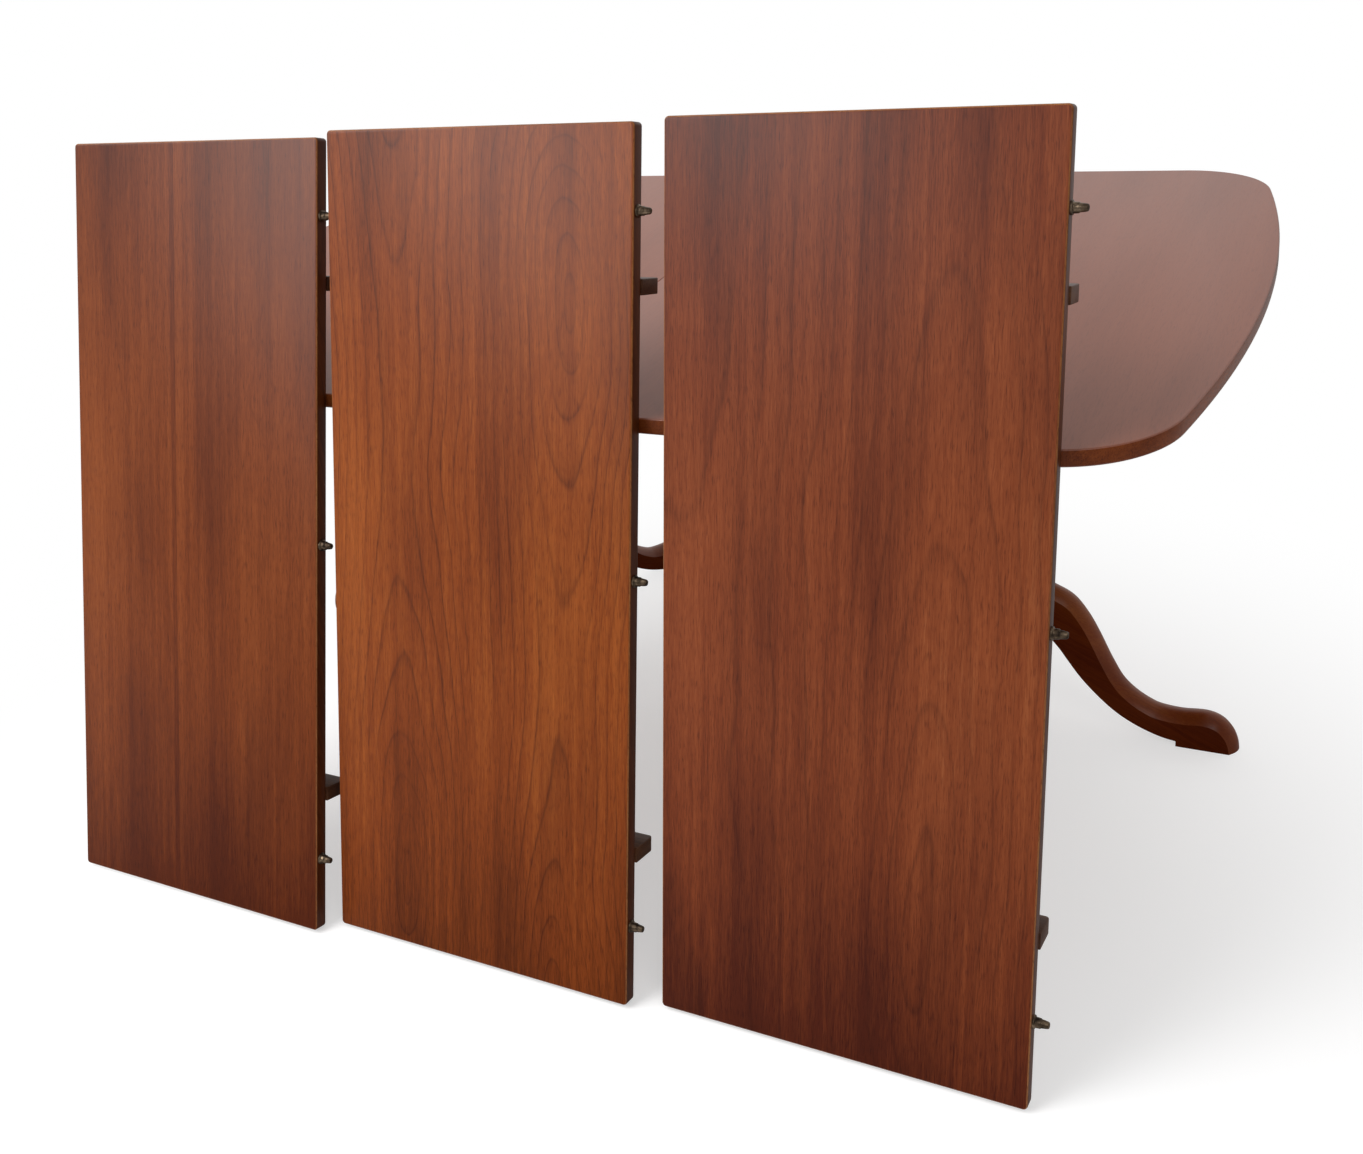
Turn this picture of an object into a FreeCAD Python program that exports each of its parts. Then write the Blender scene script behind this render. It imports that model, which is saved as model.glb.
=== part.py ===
import FreeCAD, Part
import math
import os

import Sketcher
from FreeCAD import Placement, Rotation, Vector

# Double pedestal dining table: two half tops on turned pedestals, joined by geared wooden slides,
# with three loose leaves that stand on end and lean against the near long edge.
# Frame: X along the closed table, Y away from the leaning leaves, Z up. The origin is on the floor
# under the middle of all that stands there: halfway between the feet of the leaves and the far
# edge of the top. The table is built about its own middle line and then set back from the origin.
# Lengths are millimetres, angles are degrees.

SIZES = {
    # Top: two halves that meet at X = 0
    "top_length": 1712,
    "top_width": 1118,
    "top_height": 730,
    "top_thickness": 22,
    "corner_radius": 140,
    "end_bow": 68,
    "split_gap": 0.3,
    "top_arris": 2,
    "under_arris": 4,
    # Loose leaves
    "leaf_width": 457,
    "leaf_arris": 2,
    "leaf_rest_gap": 0.3,
    "first_leaf_offset": 732,
    "left_leaf_spacing": 25,
    "right_leaf_spacing": 42,
    # Brass joint pins and the sockets that take them
    "pin_end_inset": 105,
    "pin_collar_radius": 8,
    "pin_collar_length": 2.5,
    "pin_body_radius": 6,
    "pin_body_length": 15.5,
    "pin_clearance": 0.4,
    # Bearers under each leaf
    "bearer_depth": 46,
    "bearer_thickness": 20,
    "bearer_reach": 2,
    "bearer_relief": 3,
    "bearer_round": 5,
    # Pedestal column and cap block
    "pedestal_spacing": 822,
    "drum_radius": 60,
    "cap_side": 280,
    "cap_thickness": 38,
    "cap_chamfer": 10,
    "tenon_radius": 20,
    "tenon_length": 26,
    # Legs
    "leg_reach": 432,
    "leg_thickness": 44,
    "leg_rise": 240,
    "leg_crown": 12,
    "leg_root_height": 184,
    "leg_root_inset": 5,
    "leg_pad_start": 344,
    "leg_pad_height": 9,
    "dovetail_depth": 12,
    "dovetail_neck": 16,
    "dovetail_flare": 22,
    "dovetail_height": 44,
    "dovetail_clearance": 0.15,
    # Iron plate under the leg joints
    "spider_thickness": 3,
    "spider_arm_width": 28,
    "spider_arm_length": 100,
    "spider_hub_radius": 40,
    # Extension slides
    "rail_end_gap": 25,
    "rail_height": 60,
    "side_rail_thickness": 30,
    "middle_rail_thickness": 36,
    "rail_spacing": 0.5,
    "nest_inset": 170,
    "rail_relief": 1.5,
    "tongue_depth": 8,
    "tongue_root": 9,
    "tongue_tip": 14,
    "tongue_lift": 12,
    "tongue_clearance": 0.4,
    "crossbar_width": 120,
    "crossbar_thickness": 20,
    # Racks and pinion in the front nest
    "gear_module": 5,
    "rack_height": 14,
    "rack_backing": 5,
    "rack_overrun": 20,
    "gear_backlash": 0.5,
    "gear_root_clearance": 1,
    "pinion_side_gap": 0.3,
    "pinion_window_gap": 2,
    "axle_radius": 5,
    "axle_clearance": 0.05,
    # Cleats under the halves
    "cleat_width": 50,
    "cleat_thickness": 25,
    "end_cleat_length": 660,
    "end_cleat_inset": 90,
    "centre_cleat_length": 320,
    "centre_cleat_inset": 35,
    # Table locks
    "lock_edge_inset": 159,
    "lock_plate_length": 62,
    "lock_plate_width": 42,
    "lock_plate_thickness": 3,
    "lock_plate_inset": 8,
    "lock_pivot_radius": 4,
    "lock_head_radius": 7,
    "lock_head_thickness": 2.5,
    "lock_clearance": 0.4,
    "lever_drop": 1,
    "lever_thickness": 5,
    "lever_boss_width": 18,
    "lever_tail_length": 34,
    "lever_tail_width": 14,
    "hook_width": 9,
    "hook_play": 1,
    "hook_throat_gap": 3,
    "keeper_length": 34,
    "keeper_width": 34,
    "keeper_inset": 8,
    "keeper_post_radius": 4,
    "keeper_post_overrun": 2,
}

LEAF_LEANS = [18.4, 16.4, 15.1]
LEG_TURNS = [0, 120, 240]
PINION_TEETH = 10
STUB_TOOTH_SHARE = 0.8
PRESSURE_ANGLE = 25.0
WHOLE_TURN = 360
# Angles of a lock hook about its pivot, from the line to the post it catches: the mouth, the back
# of the throat and the shoulder where the hook meets its arm
HOOK_MOUTH = -8.0
HOOK_BACK = 6.0
HOOK_SHOULDER = 16.0
# Farthest that the arcs of a leg's outline leave its curve, as a share of the pad's height
ARC_FIT_SHARE = 0.06
# Place of a bearer from either end of its leaf, as a share of the length that stands above the
# table's edge while the leaf leans
BEARER_PLACE_SHARE = 0.56

# Side view of a leg: distance from the column axis as a share of the reach, height as a share of
# the rise. The upper curve is the crease where the flat side meets the bevelled ridge.
LEG_TOP_SHARES = [
    (0.128, 1.0), (0.326, 0.987), (0.381, 0.953), (0.435, 0.898), (0.477, 0.797),
    (0.512, 0.674), (0.553, 0.504), (0.595, 0.360), (0.644, 0.267), (0.700, 0.203),
    (0.742, 0.178), (0.809, 0.169), (0.884, 0.180), (0.926, 0.157), (0.951, 0.106),
    (0.963, 0.052), (0.967, 0.0),
]
LEG_UNDER_SHARES = [
    (0.242, 0.780), (0.302, 0.763), (0.356, 0.708), (0.405, 0.606), (0.433, 0.530),
    (0.481, 0.403), (0.544, 0.275), (0.605, 0.178), (0.672, 0.106), (0.742, 0.057),
    (0.795, 0.038),
]

# Half section of the turned column: radius as a share of the drum's, height as a share of the
# length between the drum's foot and the cap. A row of two points is an arc through the first.
COLUMN_START_SHARE = (0.93, 0.0)
COLUMN_STEP_SHARES = [
    [(1.0, 0.010)],
    [(1.0, 0.150)],
    [(0.867, 0.163)],
    [(0.967, 0.191)],
    [(0.633, 0.239)],
    [(1.0, 0.325), (0.817, 0.460)],
    [(0.583, 0.610), (0.517, 0.743)],
    [(0.683, 0.756)],
    [(0.550, 0.772)],
    [(0.640, 0.860)],
    [(0.833, 0.885)],
    [(0.983, 0.903)],
    [(0.867, 0.922)],
    [(0.933, 0.945)],
    [(0.933, 1.0)],
]

document = FreeCAD.newDocument("dining_table")
sheet = document.addObject("Spreadsheet::Sheet", "sizes")
for row, (alias, value) in enumerate(SIZES.items(), start=1):
    sheet.set("A%d" % row, alias)
    sheet.set("B%d" % row, str(value))
    sheet.setAlias("B%d" % row, alias)
document.recompute()


class Named:
    """The sizes of the sheet, as numbers."""


size = Named()
for alias in SIZES:
    setattr(size, alias, float(sheet.get(alias)))

# Places worked out from the sizes
HALF_LENGTH = size.top_length / 2
HALF_WIDTH = size.top_width / 2
TOP_UNDERSIDE = size.top_height - size.top_thickness
HALF_SPLIT = size.split_gap / 2
COLUMN_X = size.pedestal_spacing / 2
COLUMN_HEIGHT = TOP_UNDERSIDE - size.cap_thickness - size.leg_root_height
LEG_ROOT = size.drum_radius - size.leg_root_inset
RAIL_BOTTOM = TOP_UNDERSIDE - size.rail_height
SLIDE_MIDDLE = TOP_UNDERSIDE - size.rail_height / 2
NEST_MIDDLE = (size.nest_inset + size.side_rail_thickness + size.rail_spacing
               + size.middle_rail_thickness / 2)
PITCH_RADIUS = size.gear_module * PINION_TEETH / 2
TOOTH_PITCH = math.pi * size.gear_module
RACK_TRAVEL = len(LEAF_LEANS) * size.leaf_width / 2
PIN_PLACES = [-HALF_WIDTH + size.pin_end_inset, 0, HALF_WIDTH - size.pin_end_inset]
PIN_PROJECTION = size.pin_collar_length + size.pin_body_length
ADDENDUM = STUB_TOOTH_SHARE * size.gear_module
DEDENDUM = ADDENDUM + size.gear_root_clearance
SOCKET_RADIUS = size.pin_collar_radius + size.pin_clearance
RAIL_FORMULA = "sizes.top_length - 2 * (sizes.end_cleat_inset + sizes.cleat_width + sizes.rail_end_gap)"
RAIL_LENGTH = size.top_length - 2 * (size.end_cleat_inset + size.cleat_width + size.rail_end_gap)

nodes = []


# Helpers for sketches, solids and nodes

def origin_plane(body, role):
    return next(feature for feature in body.Origin.OriginFeatures if feature.Role == role)


def new_body(label):
    body = document.addObject("PartDesign::Body", label)
    body.Label = label
    return body


def add_sketch(body, role, name, lift=0):
    sketch = body.newObject("Sketcher::SketchObject", name)
    sketch.AttachmentSupport = [(origin_plane(body, role), "")]
    sketch.MapMode = "FlatFace"
    sketch.AttachmentOffset = Placement(Vector(0, 0, lift), Rotation())
    return sketch


def flat(point):
    return Vector(point[0], point[1], 0)


def add_outline(sketch, points):
    """A closed outline of straight lines."""
    first = sketch.GeometryCount
    count = len(points)
    for index, point in enumerate(points):
        following = points[(index + 1) % count]
        sketch.addGeometry(Part.LineSegment(flat(point), flat(following)))
    for index in range(count):
        following = (index + 1) % count
        join = Sketcher.Constraint("Coincident", first + index, 2, first + following, 1)
        sketch.addConstraint(join)
    return first


def add_rectangle(sketch, left, bottom, width, height, width_formula, height_formula):
    """A rectangle whose two sides follow the sheet."""
    right = left + width
    top = bottom + height
    first = add_outline(sketch, [(left, bottom), (right, bottom), (right, top), (left, top)])
    for index, kind in enumerate(["Horizontal", "Vertical", "Horizontal", "Vertical"]):
        sketch.addConstraint(Sketcher.Constraint(kind, first + index))
    for index, kind, length, formula in [
        (first, "DistanceX", width, width_formula),
        (first + 1, "DistanceY", height, height_formula),
    ]:
        number = sketch.addConstraint(Sketcher.Constraint(kind, index, 1, index, 2, length))
        sketch.setExpression("Constraints[%d]" % number, formula)


def add_circle(sketch, centre, radius, formula):
    circle = sketch.addGeometry(Part.Circle(flat(centre), Vector(0, 0, 1), radius))
    number = sketch.addConstraint(Sketcher.Constraint("Radius", circle, radius))
    sketch.setExpression("Constraints[%d]" % number, formula)


def add_path(sketch, start, steps):
    """Lines and arcs from start: a step of one point is a line, of two an arc through the first."""
    here = start
    for step in steps:
        end = step[-1]
        if len(step) == 1:
            sketch.addGeometry(Part.LineSegment(flat(here), flat(end)))
        else:
            sketch.addGeometry(Part.Arc(flat(here), flat(step[0]), flat(end)))
        here = end


def add_pad(body, sketch, name, formula, both_ways=False, reverse=False):
    pad = body.newObject("PartDesign::Pad", name)
    pad.Profile = sketch
    pad.Midplane = both_ways
    pad.Reversed = reverse
    pad.setExpression("Length", formula)
    sketch.Visibility = False
    return pad


def add_pocket(body, sketch, name, formula, both_ways=False, reverse=False):
    pocket = body.newObject("PartDesign::Pocket", name)
    pocket.Profile = sketch
    pocket.Midplane = both_ways
    pocket.Reversed = reverse
    pocket.setExpression("Length", formula)
    sketch.Visibility = False
    return pocket


def add_revolution(body, sketch, name, axis):
    revolution = body.newObject("PartDesign::Revolution", name)
    revolution.Profile = sketch
    revolution.ReferenceAxis = (sketch, [axis])
    revolution.Angle = WHOLE_TURN
    sketch.Visibility = False
    return revolution


def edge_names(shape, wanted):
    return ["Edge%d" % number for number, edge in enumerate(shape.Edges, start=1) if wanted(edge)]


def spans_height(edge, height):
    """True for an edge that lies wholly at this height."""
    box = edge.BoundBox
    return math.isclose(box.ZMin, height, abs_tol=size.split_gap) and math.isclose(
        box.ZMax, height, abs_tol=size.split_gap)


def keep(part, placement=None):
    """Take a part as a node, at its place on the table's middle line, and set the table back."""
    own = placement if placement is not None else part.Placement
    part.Placement = shift(0, table_set_back(), 0).multiply(own)
    nodes.append(part)
    return part


def keep_group(label, shapes):
    """A node of several separate solids."""
    group = document.addObject("Part::Feature", label)
    group.Label = label
    group.Shape = Part.makeCompound(shapes)
    return keep(group)


def copies(shape, placements):
    result = []
    for placement in placements:
        copy = shape.copy()
        copy.Placement = placement.multiply(copy.Placement)
        result.append(copy)
    return result


def shift(x, y, z):
    return Placement(Vector(x, y, z), Rotation())


def turned(degrees, x=0, y=0, z=0):
    return Placement(Vector(x, y, z), Rotation(Vector(0, 0, 1), degrees))


# Brass pins, made once along +X from the joint face, and the sockets opposite them

def make_pin():
    body = new_body("pin_pattern")
    sketch = add_sketch(body, "XY_Plane", "pin_profile")
    add_path(sketch, (0, 0), [
        [(0, size.pin_collar_radius)],
        [(size.pin_collar_length, size.pin_collar_radius)],
        [(size.pin_collar_length, size.pin_body_radius)],
        [(PIN_PROJECTION, size.pin_body_radius)],
        [(PIN_PROJECTION, 0)],
        [(0, 0)],
    ])
    add_revolution(body, sketch, "pin_turning", "H_Axis")
    return body


def bore_holes(body, role, name, centres, lift, radius, radius_formula, depth_formula, reverse):
    sketch = add_sketch(body, role, name, lift)
    for centre in centres:
        add_circle(sketch, centre, radius, radius_formula)
    return add_pocket(body, sketch, name + "_cut", depth_formula, reverse=reverse)


def bore_sockets(body, centres, face):
    """Blind holes into a body from its joint face at X = face, along +X."""
    bore_holes(body, "YZ_Plane", body.Label + "_sockets", centres, face, SOCKET_RADIUS,
               "sizes.pin_collar_radius + sizes.pin_clearance",
               "sizes.pin_collar_length + sizes.pin_body_length + sizes.pin_clearance", True)


# Half tops

def half_outline():
    """Right-hand half: straight sides, rounded corners and a shallow bowed end."""
    bow_radius = (HALF_WIDTH ** 2 + size.end_bow ** 2) / (2 * size.end_bow)
    bow_centre = HALF_LENGTH - bow_radius
    inner_y = HALF_WIDTH - size.corner_radius
    corner_x = bow_centre + math.sqrt((bow_radius - size.corner_radius) ** 2 - inner_y ** 2)
    slope = math.atan2(inner_y, corner_x - bow_centre)
    middle = (slope + math.pi / 2) / 2
    end_x = bow_centre + bow_radius * math.cos(slope)
    end_y = bow_radius * math.sin(slope)
    round_x = corner_x + size.corner_radius * math.cos(middle)
    round_y = inner_y + size.corner_radius * math.sin(middle)
    return [
        [(corner_x, -HALF_WIDTH)],
        [(round_x, -round_y), (end_x, -end_y)],
        [(HALF_LENGTH, 0), (end_x, end_y)],
        [(round_x, round_y), (corner_x, HALF_WIDTH)],
        [(HALF_SPLIT, HALF_WIDTH)],
        [(HALF_SPLIT, -HALF_WIDTH)],
    ]


def make_half_top(label, turn):
    body = new_body(label)
    sketch = add_sketch(body, "XY_Plane", label + "_outline", TOP_UNDERSIDE)
    add_path(sketch, (HALF_SPLIT, -HALF_WIDTH), half_outline())
    pad = add_pad(body, sketch, label + "_board", "sizes.top_thickness")
    document.recompute()
    last = pad
    for level, bevel in [(size.top_height, "top_arris"), (TOP_UNDERSIDE, "under_arris")]:
        rim = edge_names(last.Shape, lambda edge: spans_height(edge, level)
                         and edge.BoundBox.XMax > size.corner_radius)
        chamfer = body.newObject("PartDesign::Chamfer", label + "_" + bevel)
        chamfer.Base = (last, rim)
        chamfer.setExpression("Size", "sizes." + bevel)
        document.recompute()
        last = chamfer
    return keep(body, turned(turn))


def make_tops(pin):
    middle = TOP_UNDERSIDE + size.top_thickness / 2
    make_half_top("left_top", WHOLE_TURN / 2)
    right = make_half_top("right_top", 0)
    bore_sockets(right, [(place, middle) for place in PIN_PLACES], HALF_SPLIT)
    keep_group("left_joint_pins",
               copies(pin.Shape, [shift(-HALF_SPLIT, place, middle) for place in PIN_PLACES]))


# Loose leaves: local X along the width, Z along the length, Y = 0 on the underside (the back
# of the leaning leaf) and the show face at negative Y

def leaf_foot(lean):
    """Place of a leaf's lower back corner: its arris stands on the floor, its back by the top."""
    drop = size.leaf_arris * math.sin(lean)
    edge_z = size.top_height - size.top_arris
    reach = -HALF_WIDTH * math.cos(lean) - edge_z * math.sin(lean)
    foot = (reach - size.leaf_rest_gap - drop * math.sin(lean)) / math.cos(lean)
    return foot, -drop


def leaf_placement(number):
    left = -size.first_leaf_offset + number * size.leaf_width
    left += min(number, 1) * size.left_leaf_spacing
    left += max(number - 1, 0) * size.right_leaf_spacing
    foot, floor = leaf_foot(math.radians(LEAF_LEANS[number]))
    return Placement(Vector(left, foot, floor), Rotation(Vector(1, 0, 0), -LEAF_LEANS[number]))


def table_set_back():
    """Distance of the table's middle line behind the middle of table and leaves together."""
    lean = math.radians(max(LEAF_LEANS))
    across = size.top_thickness * math.cos(lean) - size.leaf_arris * math.sin(lean)
    nearest = leaf_foot(lean)[0] - across
    return -(nearest + HALF_WIDTH) / 2


def make_leaf_board(label, placement):
    body = new_body(label)
    sketch = add_sketch(body, "XZ_Plane", label + "_outline")
    add_rectangle(sketch, 0, 0, size.leaf_width, size.top_width,
                  "sizes.leaf_width", "sizes.top_width")
    pad = add_pad(body, sketch, label + "_blank", "sizes.top_thickness")
    document.recompute()
    rims = edge_names(pad.Shape, lambda edge: edge.BoundBox.YLength < size.leaf_arris / 2)
    arrises = body.newObject("PartDesign::Chamfer", label + "_arrises")
    arrises.Base = (pad, rims)
    arrises.setExpression("Size", "sizes.leaf_arris")
    document.recompute()
    middle = -size.top_thickness / 2
    bore_sockets(body, [(middle, place + HALF_WIDTH) for place in PIN_PLACES], 0)
    return keep(body, placement)


def bearer_heights():
    """Both bearers stand clear of the table's edge, whichever end of the leaf is up."""
    rest = (size.top_height - size.top_arris) / math.cos(math.radians(max(LEAF_LEANS)))
    inset = BEARER_PLACE_SHARE * (size.top_width - rest)
    return [inset, size.top_width - inset]


def bearer_start():
    return size.bearer_reach + size.bearer_relief


def bearer_end():
    return size.leaf_width + size.bearer_reach


def make_bearer():
    """A bearer on the back of a leaf, centred on Z = 0, with its two free corners rounded."""
    body = new_body("bearer_pattern")
    sketch = add_sketch(body, "XY_Plane", "bearer_profile")
    start = bearer_start()
    end = bearer_end()
    depth = size.bearer_depth
    turn = size.bearer_round
    inward = turn * (1 - math.cos(math.pi / 4))
    add_path(sketch, (start, 0), [
        [(end, 0)],
        [(end, depth - turn)],
        [(end - inward, depth - inward), (end - turn, depth)],
        [(start + turn, depth)],
        [(start + inward, depth - inward), (start, depth - turn)],
        [(start, 0)],
    ])
    add_pad(body, sketch, "bearer_bar", "sizes.bearer_thickness", both_ways=True)
    return body


def make_leaves(pin):
    bearer = make_bearer()
    document.recompute()
    middle = -size.top_thickness / 2
    heights = [place + HALF_WIDTH for place in PIN_PLACES]
    for number in range(len(LEAF_LEANS)):
        name = "leaf_%d" % (number + 1)
        placement = leaf_placement(number)
        make_leaf_board(name + "_board", placement)
        pins = copies(pin.Shape, [shift(size.leaf_width, middle, z) for z in heights])
        bearers = copies(bearer.Shape, [shift(0, 0, z) for z in bearer_heights()])
        keep_group(name + "_pins", copies(Part.makeCompound(pins), [placement]))
        keep_group(name + "_bearers", copies(Part.makeCompound(bearers), [placement]))


# Pedestals: local X points along one leg, Z up the column

def column_point(share):
    return (share[0] * size.drum_radius, share[1] * COLUMN_HEIGHT)


def dovetail_points(clearance):
    neck = size.dovetail_neck / 2 + clearance
    flare = size.dovetail_flare / 2 + clearance
    inner = LEG_ROOT - size.dovetail_depth - clearance
    return [(LEG_ROOT, -neck), (LEG_ROOT, neck), (inner, flare), (inner, -flare)]


def make_column(label, placement):
    body = new_body(label)
    profile = add_sketch(body, "XZ_Plane", label + "_profile")
    steps = [[column_point(share) for share in row] for row in COLUMN_STEP_SHARES]
    cap_z = COLUMN_HEIGHT
    tenon_z = COLUMN_HEIGHT + size.tenon_length
    steps += [[(size.tenon_radius, cap_z)], [(size.tenon_radius, tenon_z)], [(0, tenon_z)],
              [(0, 0)], [column_point(COLUMN_START_SHARE)]]
    add_path(profile, column_point(COLUMN_START_SHARE), steps)
    add_revolution(body, profile, label + "_turning", "V_Axis")
    flats = add_sketch(body, "XY_Plane", label + "_leg_flats")
    half = size.leg_thickness / 2
    add_outline(flats, [(LEG_ROOT, -half), (size.drum_radius, -half),
                        (size.drum_radius, half), (LEG_ROOT, half)])
    flat_cut = add_pocket(body, flats, label + "_leg_flat",
                          "sizes.leg_rise + sizes.leg_crown - sizes.leg_root_height", reverse=True)
    mortise = add_sketch(body, "XY_Plane", label + "_mortise")
    add_outline(mortise, dovetail_points(size.dovetail_clearance))
    mortise_cut = add_pocket(body, mortise, label + "_mortise_cut",
                             "sizes.dovetail_height + sizes.dovetail_clearance", reverse=True)
    document.recompute()
    pattern = body.newObject("PartDesign::PolarPattern", label + "_leg_seats")
    pattern.Originals = [flat_cut, mortise_cut]
    pattern.Axis = (origin_plane(body, "Z_Axis"), [""])
    pattern.Angle = WHOLE_TURN
    pattern.Occurrences = len(LEG_TURNS)
    body.Tip = pattern
    return keep(body, placement)


def leg_points(shares):
    return [Vector(across * size.leg_reach, up * size.leg_rise, 0) for across, up in shares]


def leg_curves():
    """The ridge above and the curve below, as splines in the leg's own X and height."""
    top = leg_points(LEG_TOP_SHARES)
    top[0] = Vector(LEG_ROOT, size.leg_rise, 0)
    under = leg_points(LEG_UNDER_SHARES)
    under[0].y = size.leg_root_height
    under[-1] = Vector(size.leg_pad_start, size.leg_pad_height, 0)
    crease = Part.BSplineCurve()
    crease.interpolate(Points=top, InitialTangent=Vector(1, 0, 0), FinalTangent=Vector(0, -1, 0))
    ridge = Part.BSplineCurve()
    ridge.interpolate(Points=ridge_points(crease, len(top)), InitialTangent=Vector(1, 0, 0),
                      FinalTangent=Vector(0, -1, 0))
    arch = Part.BSplineCurve()
    arch.interpolate(Points=under, InitialTangent=Vector(1, 0, 0),
                     FinalTangent=under[-1] - under[-2])
    return tangent_arcs(ridge), tangent_arcs(arch), under


def follows(edge, chain):
    """True for an edge of a flat side that lies on this chain of arcs and lines."""
    if edge.BoundBox.YLength > size.split_gap:
        return False
    joints = [piece.StartPoint for piece in chain] + [chain[-1].EndPoint]
    return all(min(math.hypot(vertex.X - joint.x, vertex.Z - joint.y) for joint in joints)
               < size.split_gap for vertex in edge.Vertexes)


def tangent_arcs(curve):
    """The curve as a chain of arcs and lines that stay close to it."""
    return curve.toBiArcs(ARC_FIT_SHARE * size.leg_pad_height)


def ridge_points(crease, count):
    """Points that stand above the crease by the height of the bevels."""
    edge = crease.toShape()
    points = []
    for index in range(count):
        place = edge.getParameterByLength(index * edge.Length / (count - 1))
        along = edge.tangentAt(place)
        points.append(edge.valueAt(place) + Vector(-along.y, along.x, 0) * size.leg_crown)
    return points


def make_leg(label, placement):
    body = new_body(label)
    ridge, arch, under = leg_curves()
    side = add_sketch(body, "XZ_Plane", label + "_side")
    root_low = Vector(LEG_ROOT, size.leg_root_height, 0)
    pad_heel = Vector(size.leg_pad_start, 0, 0)
    for piece in ridge + arch:
        side.addGeometry(piece)
    for start, end in [(ridge[-1].EndPoint, pad_heel), (pad_heel, under[-1]),
                       (under[0], root_low), (root_low, ridge[0].StartPoint)]:
        side.addGeometry(Part.LineSegment(start, end))
    pad = add_pad(body, side, label + "_blank", "sizes.leg_thickness", both_ways=True)
    document.recompute()
    bevels = body.newObject("PartDesign::Chamfer", label + "_bevels")
    bevels.Base = (pad, edge_names(pad.Shape, lambda edge: follows(edge, ridge)))
    bevels.ChamferType = "Equal distance"
    bevels.setExpression("Size", "sizes.leg_crown")
    tongue = add_sketch(body, "XY_Plane", label + "_tongue", size.leg_root_height)
    add_outline(tongue, dovetail_points(0))
    add_pad(body, tongue, label + "_tongue_bar", "sizes.dovetail_height")
    return keep(body, placement)


def make_cap(label, placement):
    body = new_body(label)
    sketch = add_sketch(body, "XY_Plane", label + "_outline", TOP_UNDERSIDE - size.cap_thickness)
    half = size.cap_side / 2
    add_rectangle(sketch, -half, -half, size.cap_side, size.cap_side,
                  "sizes.cap_side", "sizes.cap_side")
    pad = add_pad(body, sketch, label + "_block", "sizes.cap_thickness")
    document.recompute()
    low = TOP_UNDERSIDE - size.cap_thickness
    chamfer = body.newObject("PartDesign::Chamfer", label + "_chamfer")
    chamfer.Base = (pad, edge_names(pad.Shape, lambda edge: spans_height(edge, low)))
    chamfer.setExpression("Size", "sizes.cap_chamfer")
    bore_holes(body, "XY_Plane", label + "_tenon_hole", [(0, 0)], low, size.tenon_radius,
               "sizes.tenon_radius", "sizes.tenon_length", True)
    return keep(body, placement)


def make_spider(label, placement):
    """Three-armed plate under the drum and the roots of the legs."""
    plate = document.addObject("Part::MultiFuse", label)
    hub = document.addObject("Part::Cylinder", label + "_hub")
    hub.setExpression("Radius", "sizes.spider_hub_radius")
    hub.setExpression("Height", "sizes.spider_thickness")
    arms = []
    for turn in LEG_TURNS:
        arm = document.addObject("Part::Box", "%s_arm_%d" % (label, turn))
        arm.setExpression("Length", "sizes.spider_arm_length")
        arm.setExpression("Width", "sizes.spider_arm_width")
        arm.setExpression("Height", "sizes.spider_thickness")
        across = turned(turn).multVec(Vector(0, -size.spider_arm_width / 2, 0))
        arm.Placement = turned(turn, across.x, across.y)
        arms.append(arm)
    plate.Shapes = [hub] + arms
    plate.Label = label
    return keep(plate, placement)


def make_pedestals():
    base_z = size.leg_root_height
    leg_names = {0: ["outer", "rear", "front"], WHOLE_TURN // 2: ["outer", "front", "rear"]}
    for name, column_x, turn in [("left", -COLUMN_X, WHOLE_TURN // 2), ("right", COLUMN_X, 0)]:
        make_column(name + "_column", turned(turn, column_x, 0, base_z))
        for leg_turn, leg_name in zip(LEG_TURNS, leg_names[turn]):
            make_leg("%s_%s_leg" % (name, leg_name), turned(turn + leg_turn, column_x))
        make_cap(name + "_cap_block", shift(column_x, 0, 0))
        make_spider(name + "_spider_plate",
                    turned(turn, column_x, 0, base_z - size.spider_thickness))


# Extension slides. A section is drawn as (distance from the table's middle line, height) and
# padded along X. side is -1 for the front nest, which holds the gear, and +1 for the rear one.

def side_rail_section(face, back, geared):
    """Section of a side rail: face is the side with the grooves, back the plain side."""
    inward = math.copysign(1, back - face)
    half_groove = size.rack_height / 2 + size.pinion_side_gap
    rack_back = PITCH_RADIUS + DEDENDUM + size.rack_backing
    rack_floor = NEST_MIDDLE + math.copysign(rack_back, face - NEST_MIDDLE)
    tongue_z = RAIL_BOTTOM - size.rail_relief + size.tongue_lift
    spare = size.tongue_clearance
    tongue_floor = face + inward * (size.tongue_depth + spare)
    root = size.tongue_root / 2 + spare
    tip = size.tongue_tip / 2 + spare
    section = [
        (back, RAIL_BOTTOM), (face, RAIL_BOTTOM),
        (face, tongue_z - root), (tongue_floor, tongue_z - tip),
        (tongue_floor, tongue_z + tip), (face, tongue_z + root),
    ]
    if geared:
        section += [
            (face, SLIDE_MIDDLE - half_groove), (rack_floor, SLIDE_MIDDLE - half_groove),
            (rack_floor, SLIDE_MIDDLE + half_groove), (face, SLIDE_MIDDLE + half_groove),
        ]
    return section + [(face, TOP_UNDERSIDE), (back, TOP_UNDERSIDE)]


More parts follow.
